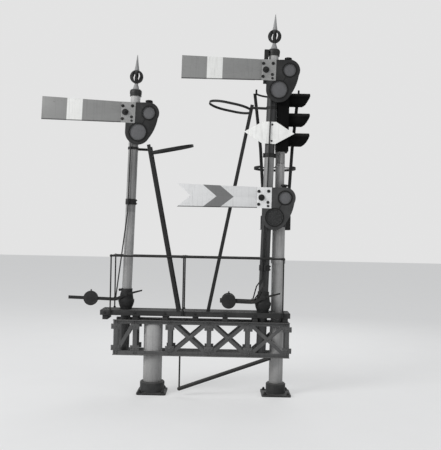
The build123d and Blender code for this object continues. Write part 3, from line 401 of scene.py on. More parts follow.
@dataclass(frozen=True)
class ArmEnamel(ArmPaint):
    """Vitreous enamel on an arm's sheet, with its painted mark, grime and chipped edges."""

    marking: Marking
    ground: GREY
    mark: GREY
    tip_length: float = 0.36
    stripe_width: float = 0.222
    chevron_point: float = 0.396
    chevron_width: float = 0.244
    chevron_slope: float = 1.25
    arm_length: float = 1.2
    half_at_spindle: float = 0.1478
    spread: float = 0.01437
    # Width of the painted shade along the blade's lower edge, standing in for the return flange's shaded underside
    underside_shade_band: float = 0.014
    soot: GREY = grey(0.12, 0.03)
    grime: GREY = grey(0.08, 0.04)
    bare: GREY = (0.06, 0.05, 0.045)

    def mark_mask(self, graph: Graph) -> Wire:
        """1 inside the painted mark, with its edges about two millimetres soft."""
        if self.marking is Marking.STRIPE:
            far = self.arm_length - self.tip_length
            return self.reach(graph).within(far - self.stripe_width, far, 0.0018)
        bent = self.reach(graph) - abs(self.drop(graph)) * self.chevron_slope
        return bent.within(self.chevron_point, self.chevron_point + self.chevron_width, 0.002)

    def build(self, graph: Graph) -> Material:
        """Paints ground and mark, painted shade along the lower edge for the return flange's shaded underside, then
        soot, runs and small chips.
        """
        broad = graph.noise(3.5)
        fine = graph.noise(60.0)
        marked = graph.mix(self.ground, self.mark, self.mark_mask(graph))
        below = self.drop(graph) - self.reach(graph) * self.spread
        chip = (fine * 0.7 + broad * 0.3).above(0.685, 0.012)
        base = graph.coats(
            marked,
            # Painted shade: the arm's colour at a quarter of its brightness along the lower edge, in place of the
            # flange's shaded underside
            (graph.scaled(marked, 0.25), below.above(self.half_at_spindle - self.underside_shade_band, 0.0015)),
            (self.soot, (broad * 0.6 + fine * 0.4).above(0.60, 0.14) * 0.22),
            (self.grime, graph.runs(40.0, 2.0).above(0.60, 0.1) * 0.16),
            (self.bare, chip),
        )
        rough = fine * 0.14 + broad * 0.12 + chip * 0.4 + 0.22
        return graph.surface(base, rough, broad * 0.8 + fine * 0.12 - chip * 0.8, 0.0012, 0.6)


@dataclass(frozen=True)
class CastingPaint(ArmPaint):
    """Spectacle casting: black paint, with the arm's pale paint on the front of its plate."""

    plate: GREY
    black: GREY
    glasses: tuple[Size, ...]
    boundary: float = -0.144
    plate_half: float = 0.150
    plate_depth: float = 0.02
    ring: float = 0.018
    web_half: float = 0.006
    web_length: float = 0.1
    bare: GREY = (0.07, 0.055, 0.048)

    def rings(self, graph: Graph) -> Wire:
        """1 on the raised rings round the glasses and on the web between them."""
        across = self.reach(graph) * -1.0
        up = self.drop(graph) * -1.0
        total: Value = 0.0
        for x, z, radius in self.glasses:
            wide, high = across - x, up - z
            total = total + (wide * wide + high * high).root().below(radius + self.ring, 0.001)
        (high_x, high_z, high_r), (low_x, low_z, _) = self.glasses
        link = vec(low_x - high_x, low_z - high_z).normalized()
        beside = abs((across - high_x) * link.y - (up - high_z) * link.x)
        beyond = (across - high_x) * link.x + (up - high_z) * link.y
        web = beside.below(self.web_half, 0.001) * beyond.within(high_r, high_r + self.web_length, 0.001)
        return (total + web).lower(1.0)

    def on_plate(self, graph: Graph) -> Wire:
        """1 on the flat plate that the arm's sheet is bolted to."""
        beside = abs(self.drop(graph)).below(self.plate_half, 0.0015)
        in_front = graph.along(self.spindle, -FRONT).below(self.plate_depth, 0.001)
        return self.reach(graph).above(self.boundary, 0.0015) * beside * in_front

    def build(self, graph: Graph) -> Material:
        """Splits the casting into its two paints and weathers both."""
        broad = graph.noise(6.0)
        grit = graph.noise(90.0, 4.0, 0.65)
        black = graph.mix(self.black, shade(self.black, 2.1), (broad * 0.6 + grit * 0.4).above(0.52, 0.2))
        pale = graph.mix(shade(self.plate, 0.72), self.plate, (broad * 0.5 + grit * 0.5).above(0.45, 0.22))
        chip = (grit * 0.65 + broad * 0.35).above(0.66, 0.02)
        base = graph.coats(
            black,
            (pale, self.on_plate(graph)),
            (grey(0.008), self.rings(graph)),
            (self.bare, chip),
            (grey(0.20), graph.facing_up() * 0.4),
        )
        rough = (grit * 0.2 + chip * 0.3 + 0.52).lower(0.95)
        relief = grit * 0.5 + broad * 0.4 - chip * 0.5
        return graph.surface(base, rough, relief, 0.0012, 0.8, Specular_IOR_Level=0.25)


@dataclass(frozen=True)
class Roundel(Finish):
    """Thick coloured glass seen against the light, with soot in patches."""

    colour: GREY = (0.098, 0.098, 0.102)
    sheen: float = 0.36

    def build(self, graph: Graph) -> Material:
        """Makes a smoked, slightly uneven glass."""
        cloud = graph.noise(14.0, 3.0, 0.5)
        soot = graph.noise(70.0)
        base = graph.coats(
            shade(self.colour, 0.8), (shade(self.colour, 1.3), cloud), (grey(0.2), soot.above(0.6, 0.12) * 0.25),
        )
        return graph.surface(base, soot * 0.12 + self.sheen, cloud, 0.001, 0.3, IOR=1.5)


@dataclass(frozen=True)
class Enamelled(Finish):
    """Flat white plate paint with dirt runs."""

    colour: GREY = (0.93, 0.93, 0.91)
    bare: GREY = (0.09, 0.07, 0.06)

    def build(self, graph: Graph) -> Material:
        """Makes a bright plate with thin runs and specks."""
        broad = graph.noise(4.0)
        fine = graph.noise(75.0)
        chip = (fine * 0.7 + broad * 0.3).above(0.675, 0.014)
        base = graph.coats(
            shade(self.colour, 0.86),
            (self.colour, broad.above(0.46, 0.2)),
            (grey(0.35, 0.03), graph.runs(46.0, 2.2).above(0.62, 0.09) * 0.28),
            (self.bare, chip * 0.9),
        )
        rough = fine * 0.15 + chip * 0.35 + 0.30
        return graph.surface(base, rough, fine * 0.3 - chip * 0.7, 0.001, 0.6)


POST, BARE_POST = grey(0.27, 0.01), grey(0.48, 0.01)
LEFT_POST = Paint("left_post_paint", POST, chips=0.16, streaks=0.45,
                  bands=((-1.0, 1.20, grey(0.05)), (1.20, 2.60, grey(0.36, 0.01)), (4.10, 9.0, BARE_POST)))
RIGHT_POST = Paint("right_post_paint", POST,
                   bands=((-1.0, 2.90, grey(0.035)), (3.43, 4.33, grey(0.045)), (4.70, 9.0, BARE_POST)))
LIGHT_POST = Paint("light_post_paint", grey(0.38, 0.01), chips=0.14, streaks=0.5)
COLUMN = Paint("column_paint", grey(0.36, 0.01), chips=0.22, gloss=0.6, grime_floor=0.0)
GIRDER = Paint("girder_paint", grey(0.085), chips=0.4, dust=0.5, gloss=0.62)
BLACK = Paint("black_paint", grey(0.022), chips=0.28, streaks=0.25, dust=0.2, gloss=0.6, shine=0.25)
RAIL = Paint("rail_paint", grey(0.022), chips=0.3, streaks=0.2, dust=0.15, shine=0.2)
LAMP_BLACK = Paint("lamp_paint", grey(0.012), chips=0.12, streaks=0.3, dust=0.2, gloss=0.6, shine=0.25)
HEAD_BLACK = Paint("head_paint", grey(0.007), chips=0.04, streaks=0.5, dust=0.1, gloss=0.6, shine=0.03)
BEAD = Paint("bead_paint", grey(0.13), chips=0.1, streaks=0.2, dust=0.2, gloss=0.5)
CAST = Iron("foot_iron", colour=grey(0.022), worn=grey(0.07))
DOLL_IRON = Iron("doll_base_iron", worn=grey(0.045), rust=0.2, dust=0.25)
WEIGHT = Iron("weight_iron")
BOLT = Iron("bolt_iron", rust=0.4, dust=0.2)
BOARDS = Timber("deck_timber", pale=grey(0.12, 0.02), dark=grey(0.035))
EDGES = Timber("edge_timber", board_pitch=0.37)
BEARERS = Timber("bearer_timber", board_pitch=0.44, lengthwise=False)
GLASS = Roundel("roundel_glass")
LENS = Roundel("lens_glass", colour=grey(0.03), sheen=0.12)
WHITE = Enamelled("white_enamel")


@dataclass
class Piece:
    """A mesh under construction, shaped by mesh operators."""

    name: str
    mesh: bmesh.types.BMesh = field(default_factory=bmesh.new)

    def soften(self, verts: list, width: float, steps: int) -> None:
        """Bevels the sharp edges of what was just added."""
        edges = {edge for vert in verts for edge in vert.link_edges}
        sharp = [e for e in edges if len(e.link_faces) == 2 and e.calc_face_angle(0.0) > BEVEL_FROM]
        shape = {"segments": steps, "profile": 0.5, "affect": "EDGES", "material": -1, "clamp_overlap": True}
        bmesh.ops.bevel(self.mesh, geom=sharp, offset=width, **shape)

    def rod(self, start: Vector, end: Vector, radius: float, sides: int = 20, soft: float = 0.0, steps: int = 2,
            taper: float = 1.0, turn: float = 0.0) -> None:
        """Adds a bar between two points; taper is its end radius as a share of the first."""
        made = bmesh.ops.create_cone(
            self.mesh, cap_ends=True, segments=sides, radius1=radius, radius2=taper * radius,
            depth=(end - start).length, matrix=aim((start + end) / 2, end - start, turn),
        )
        if soft:
            self.soften(made["verts"], soft, steps)

    def block(self, centre: Vector, size: Size, turn: Matrix | None = None, soft: float = 0.0) -> None:
        """Adds a bar of rectangular section, turned about its own centre."""
        matrix = Matrix.Translation(centre) @ (turn or Matrix.Identity(4)) @ Matrix.Diagonal((*size, 1.0))
        made = bmesh.ops.create_cube(self.mesh, size=1.0, matrix=matrix)
        if soft:
            self.soften(made["verts"], soft, 2)

    def nut(self, seat: Vector, normal: Vector, across: float, height: float, turn: float = 0.0) -> None:
        """Adds a washer, a six-sided nut and the end of its bolt."""
        way = normal.normalized()
        washer = seat + way * (WASHER_THICK * across)
        top = washer + way * height
        self.rod(seat, washer, WASHER_R * across, 18)
        self.rod(washer, top, HEX_R * across, 6, 0.06 * across, steps=1, turn=turn)
        self.rod(top, top + way * (BOLT_END * across), BOLT_END * across, 10)

    def rivet(self, seat: Vector, normal: Vector, radius: float) -> None:
        """Adds a low domed rivet head."""
        way = normal.normalized() * radius
        middle = seat + way * MIDDLE_HIGH
        self.rod(seat, middle, radius, 8, taper=MIDDLE_R)
        self.rod(middle, seat + way * CROWN_HIGH, MIDDLE_R * radius, 8, taper=CROWN_R / MIDDLE_R)

    def lathe(self, profile: Outline, place: Vector, direction: Vector, steps: int = 48, hollow: bool = False) -> None:
        """Spins an outline of (radius, height) points round an axis.

        Args:
            profile: Points from one end of the outline to the other.
            place: Where height zero lies on the axis.
            direction: The way that height grows.
            steps: Facets round the axis.
            hollow: Whether the outline closes on itself, as a ring, and not on the axis.
        """
        ends = [(0.0, profile[0][1])] * (profile[0][0] > 0), [(0.0, profile[-1][1])]
        profile = [*profile, profile[0]] if hollow else [*ends[0], *profile, *ends[1]]
        known = set(self.mesh.verts)
        verts = [self.mesh.verts.new((radius, 0.0, height)) for radius, height in profile]
        edges = [self.mesh.edges.new(pair) for pair in zip(verts, verts[1:])]
        bmesh.ops.spin(
            self.mesh, geom=verts + edges, cent=(0, 0, 0), axis=(0, 0, 1), angle=math.tau, steps=steps, use_merge=True,
        )
        fresh = [vert for vert in self.mesh.verts if vert not in known]
        bmesh.ops.remove_doubles(self.mesh, verts=fresh, dist=WELD_REACH)
        fresh = [vert for vert in fresh if vert.is_valid]
        bmesh.ops.transform(self.mesh, matrix=aim(place, direction), verts=fresh)

    def done(self, finish: Finish, body: str = ROOT, replaces: str = "") -> bpy.types.Object:
        """Turns the mesh into an object that rides on a body.

        Args:
            finish: Its surface.
            body: The body it moves with.
            replaces: CAD node that it stands for.

        Returns:
            The new object.
        """
        bmesh.ops.recalc_face_normals(self.mesh, faces=self.mesh.faces)
        data = bpy.data.meshes.new(self.name)
        self.mesh.to_mesh(data)
        self.mesh.free()
        data.shade_smooth()
        data.set_sharp_from_angle(angle=SHARP_FROM)
        data.materials.append(finish.material())
        made = show(self.name, data)
        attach(made, body)
        if replaces:
            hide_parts(replaces)
        LOG.info("%s: %d faces on %s", self.name, len(data.polygons), body)
        return made


@dataclass(frozen=True)
class Stand:
    """The frame of a doll or post: its foot on the deck and its lean toward +X."""

    foot: Vector
    lean: float = 0.0

    def turn(self) -> Matrix:
        """Rotation from the stand's own axes to the row's."""
        return Matrix.Rotation(self.lean, 4, "Y")

    def at(self, x: float, y: float, z: float) -> Vector:
        """A point given in the stand's own axes."""
        return self.foot + self.way(x, y, z)

    def way(self, x: float, y: float, z: float) -> Vector:
        """A direction given in the stand's own axes."""
        return self.turn() @ vec(x, y, z)


def joint(name: str) -> dict:
    """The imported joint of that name."""
    return next(item for item in frame["joints"] if item["name"] == name)


def lean(rod: str) -> float:
    """How far a doll leans toward +X, which its down rod follows."""
    axis = joint(f"{rod}_rod_lift")["axis"]
    return math.atan2(axis[0], axis[2])


DECK_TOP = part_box("deck_boards")[1].z
LEFT = Stand(vec(-0.404, 0.0, DECK_TOP), lean("left"))
RIGHT_DOLL = Stand(vec(1.572, -0.070, DECK_TOP), lean("home"))
LIGHT = Stand(vec(1.790, 0.040, DECK_TOP))


@dataclass
class Dressing:
    """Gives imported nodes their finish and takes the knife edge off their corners."""

    soft: float = 0.002
    soft_on_thin: float = 0.0006
    corner: float = math.radians(32)
    thin: tuple[str, ...] = ("_plate", "_hoods", "_blade", "_hoop", "_finial")

    def dress(self, node: str, finish: Finish) -> None:
        """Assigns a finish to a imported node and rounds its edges."""
        part = frame["nodes"][node]
        for slot in part.material_slots:
            slot.material = finish.material()
        part.data.polygons.foreach_set("use_smooth", [True] * len(part.data.polygons))
        part.modifiers.new("weld", "WELD").merge_threshold = 1e-5
        edge = part.modifiers.new("soft", "BEVEL")
        edge.width = self.soft_on_thin if node.endswith(self.thin) else self.soft
        edge.segments = 2
        edge.limit_method = "ANGLE"
        edge.angle_limit = self.corner
        edge.harden_normals = True
        edge.use_clamp_overlap = True


@dataclass
class Beam:
    """Rivets, gussets and foundation bolts of the beam and its columns."""

    rivet: float = 0.0115
    rivet_across: tuple[float, ...] = (-0.016, 0.016)
    rivet_rows: tuple[float, ...] = (0.022, 0.044)
    gusset_rivets: tuple[float, ...] = (-0.048, 0.0, 0.048)
    end_inset: float = 0.036
    open_half: float = 0.25
    bays: int = 3
    web: float = 0.008
    gusset: Size = (0.13, 0.006, 0.076)
    gusset_rise: float = 0.098
    chord_y: float = 0.178
    chord_rivets: int = 22
    chord_end: float = 0.1
    foot_bolts: float = 0.165
    foot_top: float = 0.025

    def upright_places(self) -> list[float]:
        """Centres of the uprights along the beam."""
        low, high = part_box("front_girder")
        pitch = (high.x - self.end_inset - self.open_half) / self.bays
        return [low.x + self.end_inset, -self.open_half] + [self.open_half + pitch * n for n in range(self.bays + 1)]

    def rivets(self) -> None:
        """Adds the rivet groups at every joint of both girders."""
        for side, name in zip(SIDES, ("front_girder", "rear_girder")):
            low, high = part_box(name)
            out = -FRONT * side
            face = (high.y if side < 0 else low.y) + side * self.web
            heads = Piece(f"{name}_rivets")
            plates = Piece(f"{name}_gussets")
            for place, (level, inward) in product(self.upright_places(), ((low.z, 1), (high.z, -1))):
                for dx, dz in product(self.rivet_across, self.rivet_rows):
                    heads.rivet(vec(place + dx, face, level + inward * dz), out, self.rivet)
                centre = vec(place, face + side * self.gusset[1] / 2, level + inward * self.gusset_rise)
                plates.block(centre, self.gusset, soft=0.0012)
                for dx in self.gusset_rivets:
                    heads.rivet(centre + RIGHT * dx + out * (self.gusset[1] / 2), out, self.rivet)
            spans = self.upright_places()[2:]
            for start, end in zip(spans, spans[1:]):
                seat = vec((start + end) / 2, face, (low.z + high.z) / 2)
                heads.rivet(seat, out, 1.2 * self.rivet)
            for n in range(self.chord_rivets):
                share = n / (self.chord_rivets - 1)
                place = low.x + self.chord_end + share * (high.x - low.x - 2 * self.chord_end)
                for level, way in ((high.z - self.web, -UP), (low.z + self.web, UP)):
                    heads.rivet(vec(place, side * self.chord_y, level), way, 0.8 * self.rivet)
            heads.done(GIRDER)
            plates.done(GIRDER)

    def foundation_bolts(self) -> None:
        """Adds the studs and nuts on both column feet."""
        bolts = Piece("foundation_bolts")
        for (x, y), dx, dy in product(((0, 0), LIGHT.foot.xy), SIDES, SIDES):
            seat = vec(x + dx * self.foot_bolts, y + dy * self.foot_bolts, self.foot_top)
            bolts.rod(seat - UP * 0.02, seat, 0.012, 16)
            bolts.nut(seat, UP, 0.036, 0.022, turn=(dx + dy) * self.foot_bolts)
        bolts.done(BOLT)

    def build(self) -> None:
        """Builds the beam's fittings."""
        self.rivets()
        self.foundation_bolts()


@dataclass
class Deck:
    """Nails in the boards and the bolts of the edge boards and bearers."""

    nail: float = 0.006
    bearers: int = 7
    bearer_half: float = 0.0375
    board_pitch: float = 0.116
    nail_off: float = 0.036
    stagger: float = 0.4
    bolt_drop: float = 0.035

    def build(self) -> None:
        """Adds nail heads on top and coach bolts on the edges."""
        low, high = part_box("cross_bearers")
        step = (high.x - low.x - 2 * self.bearer_half) / (self.bearers - 1)
        nails = Piece("deck_nails")
        bolts = Piece("edge_board_bolts")
        side_low, side_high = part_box("edge_boards")
        for n in range(self.bearers):
            place = low.x + self.bearer_half + n * step
            for board, off in product((-self.board_pitch, 0.0, self.board_pitch), (-self.nail_off, self.nail_off)):
                seat = vec(place + self.stagger * off, board + off, DECK_TOP)
                if not self.over_a_hole(seat):
                    nails.rivet(seat, UP, self.nail)
            for face, out in ((side_low.y, FRONT), (side_high.y, -FRONT)):
                bolts.nut(vec(place, face, side_high.z - self.bolt_drop), out, 0.019, 0.010, turn=0.4 * n)
        nails.done(BOLT)
        bolts.done(BOLT)

    @staticmethod
    def over_a_hole(seat: Vector) -> bool:
        """Whether a doll or the post comes up through the deck at this point."""
        places = ((LEFT.foot, 0.086), (RIGHT_DOLL.foot, 0.086), (LIGHT.foot, 0.118))
        return any((seat.xy - foot.xy).length < reach for foot, reach in places)


@dataclass
class Handrails:
    """Palms, collars and bolts of the handrail stanchions."""

    stanchions: tuple[float, ...] = (-0.6, 0.43, 1.85)
    collared: tuple[tuple[int, ...], ...] = ((), (-1, 1), (-1,))
    rail_y: float = 0.21
    stanchion_r: float = 0.010
    ball_r: float = 0.021
    palm: Size = (0.046, 0.008, 0.062)
    palm_drop: float = 0.033
    bolt_drop: float = 0.05
    bolt_off: float = 0.015
    collar_r: float = 0.0185
    collar_off: float = 0.018
    collar_length: float = 0.016

    def build(self) -> None:
        """Adds what fastens the rails at both sides."""
        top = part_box("front_handrail")[1].z - self.ball_r
        palms = Piece("stanchion_palms")
        bolts = Piece("stanchion_bolts")
        collars = Piece("rail_collars")
        for side in SIDES:
            out = -FRONT * side
            face = side * (self.rail_y - self.stanchion_r)
            for place, ways in zip(self.stanchions, self.collared):
                centre = vec(place, face + side * self.palm[1] / 2, DECK_TOP - self.palm_drop)
                palms.block(centre, self.palm, soft=0.002)
                for dx in (-self.bolt_off, self.bolt_off):
                    seat = vec(place + dx, face + side * self.palm[1], DECK_TOP - self.bolt_drop)
                    bolts.nut(seat, out, 0.011, 0.006)
                foot = vec(place, side * self.rail_y, DECK_TOP + 0.001)
                collars.lathe([(0.019, 0.0), (0.019, 0.008), (0.012, 0.02)], foot, UP, 20)
                for way in ways:
                    start = vec(place + way * self.collar_off, side * self.rail_y, top)
                    collars.rod(start, start + RIGHT * (way * self.collar_length), self.collar_r, 18, 0.002)
        palms.done(RAIL)
        bolts.done(BOLT)
        collars.done(RAIL)


@dataclass
class SemaphoreArm:
    """One arm: enamel, casting paint, roundels, bolts and spindle nut, lamp and bearing bolts."""

    name: str
    stand: Stand
    marking: Marking = Marking.STRIPE
    rise: float = math.radians(0.6)
    pitch: float = 0.336
    glass_angles: tuple[float, ...] = (math.radians(1.0), math.radians(-55.0))
    glass_radii: tuple[float, ...] = (0.088, 0.117)
    ground: GREY = (0.255, 0.255, 0.25)
    mark: GREY = (0.80, 0.80, 0.78)
    plate: GREY = (0.30, 0.30, 0.295)
    black: GREY = (0.017, 0.017, 0.017)
    low_glass: GREY | None = None
    plate_front: float = 0.012
    plate_bolts: tuple[tuple[float, float], ...] = ((-0.039, 0.088), (0.099, 0.094), (-0.038, -0.097))
    buttons: tuple[Size, ...] = ((0.093, -0.065, 0.022), (0.096, -0.118, 0.018))
    thick: float = 0.008
    lamp_front: float = 0.094
    lamp_size: Size = (0.130, 0.118, 0.190)
    door_size: Size = (0.100, 0.004, 0.150)
    hinge_x: float = 0.052
    hinge_z: float = 0.045
    seam: float = 0.012
    handle_x: float = 0.042
    chimney_off: float = -0.009
    clamp_r: float = 0.078
    back_nuts: bool = True

    def __post_init__(self) -> None:
        """Finds the spindle and the arm's own axes."""
        pivot = Vector(joint(f"{self.name}_arm_swing")["pos_m"])
        self.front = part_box(f"{self.name}_arm_blade")[0].y
        self.spindle = vec(pivot.x, self.front, pivot.z)
        self.plane = Stand(self.spindle, self.rise + self.stand.lean)
        self.body = f"{self.name}_arm"

    def at(self, x: float, depth: float, z: float) -> Vector:
        """A point in the arm's plane: depth is how far in front of the blade's face."""
        return self.plane.at(x, -depth, z)

    def glasses(self) -> tuple[Size, ...]:
        """Centre in the arm's plane and radius of the upper and the lower glass."""
        both = zip(self.glass_angles, self.glass_radii)
        return tuple((self.pitch * math.cos(angle), self.pitch * math.sin(angle), radius) for angle, radius in both)

    def finishes(self, dressing: Dressing) -> None:
        """Paints the blade and the casting."""
        line = self.spindle, self.plane.way(-1, 0, 0)
        enamel = ArmEnamel(f"{self.name}_arm_enamel", *line, self.marking, self.ground, self.mark)
        casting = CastingPaint(f"{self.name}_casting_paint", *line, self.plate, self.black, self.glasses())
        parts = {"arm_blade": enamel, "spectacle": casting, "bearing": BLACK, "down_rod": BLACK, "lever": BLACK,
                 "weight": WEIGHT}
        for part, finish in parts.items():
            dressing.dress(f"{self.name}_{part}", finish)

    def roundels(self) -> None:
        """Replaces the plain glass discs with domed roundels and their beads."""
        beads = Piece(f"{self.name}_roundel_beads")
        glasses = Piece(f"{self.name}_roundels")
        for x, z, radius in self.glasses():
            centre = self.at(x, -0.002, z)
            clear = radius - 0.001
            slope = ((0.0, 0.0075), (0.35, 0.0072), (0.65, 0.0064), (0.88, 0.0050), (1.0, 0.0035), (1.0, -0.002))
            glasses.lathe([(clear * share, high) for share, high in slope], centre, FRONT, 56)
            inner = radius - 0.004
            bead = [(inner, 0.0145), (radius - 0.002, 0.0175), (radius, 0.0165), (radius, 0.0125), (inner, 0.0125)]
            beads.lathe(bead, centre, FRONT, 56, hollow=True)
        made = glasses.done(GLASS, self.body, f"{self.name}_glasses")
        if self.low_glass:
            made.data.materials.append(Roundel(f"{self.name}_dark_glass", colour=self.low_glass).material())
            middle = made.matrix_world.inverted() @ self.at(x, 0.0, z)
            for face in made.data.polygons:
                face.material_index = int((face.center - middle).length < 1.5 * radius)
        beads.done(BEAD, self.body)

    def bolts(self) -> None:
        """Adds the plate bolts, the spindle's nut and the pin's washer."""
        face = self.plate_front
        bolts = Piece(f"{self.name}_arm_bolts")
        for x, z in self.plate_bolts:
            bolts.nut(self.at(x, face, z), FRONT, 0.024, 0.012, turn=3 * x)
            if self.back_nuts:
                bolts.nut(self.at(x, -0.003, z), -FRONT, 0.022, 0.010, turn=z)
        hub = self.at(0.0, face + self.thick, 0.0)
        bolts.lathe([(0.046, 0.0), (0.043, 0.006), (0.032, self.thick)], hub, FRONT, 32)
        bolts.nut(hub + FRONT * self.thick, FRONT, 0.034, 0.018, turn=0.3)
        for x, z, radius in self.buttons:
            button = [(radius, 0.0), (0.9 * radius, 0.005), (0.5 * radius, self.thick)]
            bolts.lathe(button, self.at(x, face, z), FRONT, 28)
        bolts.done(BOLT, body=self.body)

    def lamp(self) -> None:
        """Replaces the plain lamp with a case, door, chimney, bull's eye and handle."""
        x, z, _ = self.glasses()[0]
        lens = self.at(x, 0.0, z)
        turn = self.stand.turn()
        wide, deep, tall = self.lamp_size
        front = vec(lens.x, self.stand.foot.y - self.lamp_front, lens.z)
        body = Stand(front - FRONT * (deep / 2), self.stand.lean)
        up = body.way(0, 0, 1)
        case = Piece(f"{self.name}_lamp_case")
        case.block(body.foot, self.lamp_size, turn, soft=0.009)
        for level in (-0.5, 0.5):
            seam = (wide + 0.006, deep + 0.002, 0.008)
            case.block(body.at(0, 0, level * (tall - self.seam)), seam, turn, soft=0.002)
        chimney = [(0.0338, 0.0), (0.0300, 0.012), (0.0290, 0.060), (0.0330, 0.072), (0.0525, 0.074),
                   (0.053, 0.086), (0.050, 0.096), (0.034, 0.1015), (0.012, 0.1038)]
        case.lathe(chimney, body.at(self.chimney_off, 0, tall / 2), up, 36)
        rim = [(0.047, -0.002), (0.058, -0.002), (0.058, 0.005), (0.050, 0.006)]
        case.lathe(rim, front, FRONT, 40, hollow=True)
        back = deep / 2
        case.block(body.at(0, back + 0.001, 0), self.door_size, turn, soft=0.001)
        for way in SIDES:
            hinge = body.at(self.hinge_x, back + 0.004, way * self.hinge_z)
            case.rod(hinge - up * 0.014, hinge + up * 0.014, 0.004, 12)
        case.rod(body.at(-0.035, back + 0.003, 0), body.at(-0.035, back + 0.012, 0), 0.007, 16, 0.001)
        for way in SIDES:
            foot = body.at(way * self.handle_x, 0, tall / 2 - 0.002)
            case.rod(foot, foot + up * 0.080, 0.003, 10)
        under = body.at(0, 0, -tall / 2 - 0.012)
        doll = self.stand.foot + up * ((under - self.stand.foot).dot(up))
        side = body.way(1, 0, 0)
        length = (under - doll).dot(side) + 0.005
        bar = doll + side * (length / 2 + 0.06) - FRONT * (body.foot.y - doll.y)
        case.block(bar, (length, 0.024, 0.024), turn, soft=0.002)
        band = [(0.0703, -0.012), (0.0735, -0.012), (0.0735, 0.012), (0.0703, 0.012)]
        case.lathe(band, doll, up, 40, hollow=True)
        case.done(LAMP_BLACK, ROOT, f"{self.name}_lamp")
        eye = Piece(f"{self.name}_lamp_eye")
        eye.lathe([(0.0, 0.006), (0.02, 0.0055), (0.036, 0.003), (0.047, -0.001)], front, FRONT, 40)
        eye.done(LENS)

    def clamp_bolts(self) -> None:
        """Adds the bolts of the bearing's clamp."""
        low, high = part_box(f"{self.name}_bearing")
        level = (low.z + high.z) / 2 - DECK_TOP
        bolts = Piece(f"{self.name}_clamp_bolts")
        for dz, (x, y) in product((-0.02, 0.02), ((1, 0), (0, 1))):
            seat = self.stand.at(x * self.clamp_r, y * self.clamp_r, level + dz)
            bolts.nut(seat, self.stand.way(x, y, 0), 0.016, 0.009)
        bolts.done(BOLT)

    def build(self, dressing: Dressing) -> None:
        """Builds the arm's fittings."""
        self.finishes(dressing)
        self.roundels()
        self.bolts()
        self.lamp()
        self.clamp_bolts()


@dataclass
class Ladder:
    """Rivets at the rung ends of one leaning ladder."""

    side: str
    foot: Vector
    top: Vector
    half: float = 0.146
    rung_pitch: float = 0.29

    def build(self) -> None:
        """Adds a rivet at each rung end, outside both stiles."""
        way = (self.top - self.foot).normalized()
        outward = way.cross(vec(way.z, 0.0, -way.x)).normalized()
        ends = Piece(f"{self.side}_ladder_rivets")
        level = 0.8 * self.rung_pitch
        while level < (self.top - self.foot).length - self.rung_pitch / 4:
            for out in SIDES:
                ends.rivet(self.foot + way * level + outward * (out * self.half), outward * out, 0.011)
            level += self.rung_pitch
        ends.done(BLACK)


@dataclass
class Clamps:
    """Bolts of the bands round the dolls: the diamond's pads, the guides and the ladder stays."""

    doll_r: float = 0.070
    diamond_height: float = 2.577
    diamond_rise: float = 0.117
    plate_depth: float = 0.0765
    low_clamp: float = 2.259
    ear_reach: float = 0.083
    stays: tuple[tuple[Stand, float], ...] = ((LEFT, 1.555), (RIGHT_DOLL, 0.640))

    def build(self) -> None:
        """Adds the nuts where each band is drawn together."""
        bolts = Piece("band_bolts")
        for up in SIDES:
            seat = RIGHT_DOLL.at(0.017, -self.plate_depth, self.diamond_height + up * self.diamond_rise)
            bolts.nut(seat, FRONT, 0.015, 0.008, turn=0.2 * up)
        for side, dz in product(SIDES, (-0.018, 0.018)):
            seat = RIGHT_DOLL.at(side * self.ear_reach, -0.022, self.low_clamp + dz)
            bolts.nut(seat, FRONT, 0.014, 0.008, turn=dz)
        for (stand, level), dz in product(self.stays, (-0.024, 0.024)):
            bolts.nut(stand.at(self.doll_r + 0.008, 0.0, level + dz), stand.way(1, 0, 0), 0.015, 0.008)
        bolts.done(BOLT)


@dataclass
class ColourLight:
    """Door, hinges, latches, panels, stepped lenses and bezels of the colour-light head."""

    aspects: int = 3
    spacing: float = 0.288
    top_below: float = 0.122
    lens_r: float = 0.084
    door_size: Size = (0.005, 0.25, 0.79)
    hinges: tuple[float, ...] = (-0.3, 0.0, 0.3)
    latches: tuple[float, ...] = (-0.22, 0.22)
    panel: Size = (0.12, 0.004, 0.20)

    def lenses(self) -> None:
        """Replaces the plain lens discs with stepped lenses in bezels."""
        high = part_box("light_head")[1]
        rings = Piece("light_lens_glass")
        bezels = Piece("light_bezels")
        for n in range(self.aspects):
            centre = vec(high.x, LIGHT.foot.y, high.z - self.top_below - n * self.spacing)
            steps: Outline = [(0.0, 0.010)]
            for ring in range(1, 6):
                radius = self.lens_r * ring / 5.2
                steps += [(radius - 0.002, 0.0095), (radius, 0.0060)]
            rim = self.lens_r - 0.001
            rings.lathe(steps + [(rim, 0.004), (rim, 0.0)], centre, RIGHT)
            bezel = [(0.084, 0.0), (0.0935, 0.0), (0.0935, 0.012), (0.087, 0.014), (0.084, 0.011)]
            bezels.lathe(bezel, centre, RIGHT, hollow=True)
        rings.done(LENS, ROOT, "light_lenses")
        bezels.done(HEAD_BLACK)

    def door(self) -> None:
        """Adds the back door with its hinges, and the latches and panels on both sides."""
        low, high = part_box("light_head")
        middle = (low + high) / 2
        door = Piece("light_head_door")
        door.block(vec(low.x - 0.0015, middle.y, middle.z), self.door_size, soft=0.001)
        for level in self.hinges:
            hinge = vec(low.x - 0.002, high.y - 0.018, middle.z + level)
            door.rod(hinge - UP * 0.03, hinge + UP * 0.03, 0.0028, 12)
        for out, face in ((FRONT, low.y), (-FRONT, high.y)):
            for level in self.latches:
                seat = vec(middle.x - 0.04, face, middle.z + level)
                door.rod(seat - out * 0.001, seat + out * 0.009, 0.011, 18, 0.002)
            for n in range(self.aspects):
                panel = vec(middle.x + 0.02, face, high.z - self.top_below - n * self.spacing) + out * 0.0015
                door.block(panel, self.panel, soft=0.001)
        door.done(HEAD_BLACK)

    def build(self) -> None:
        """Builds the head's fittings."""
        self.lenses()
        self.door()


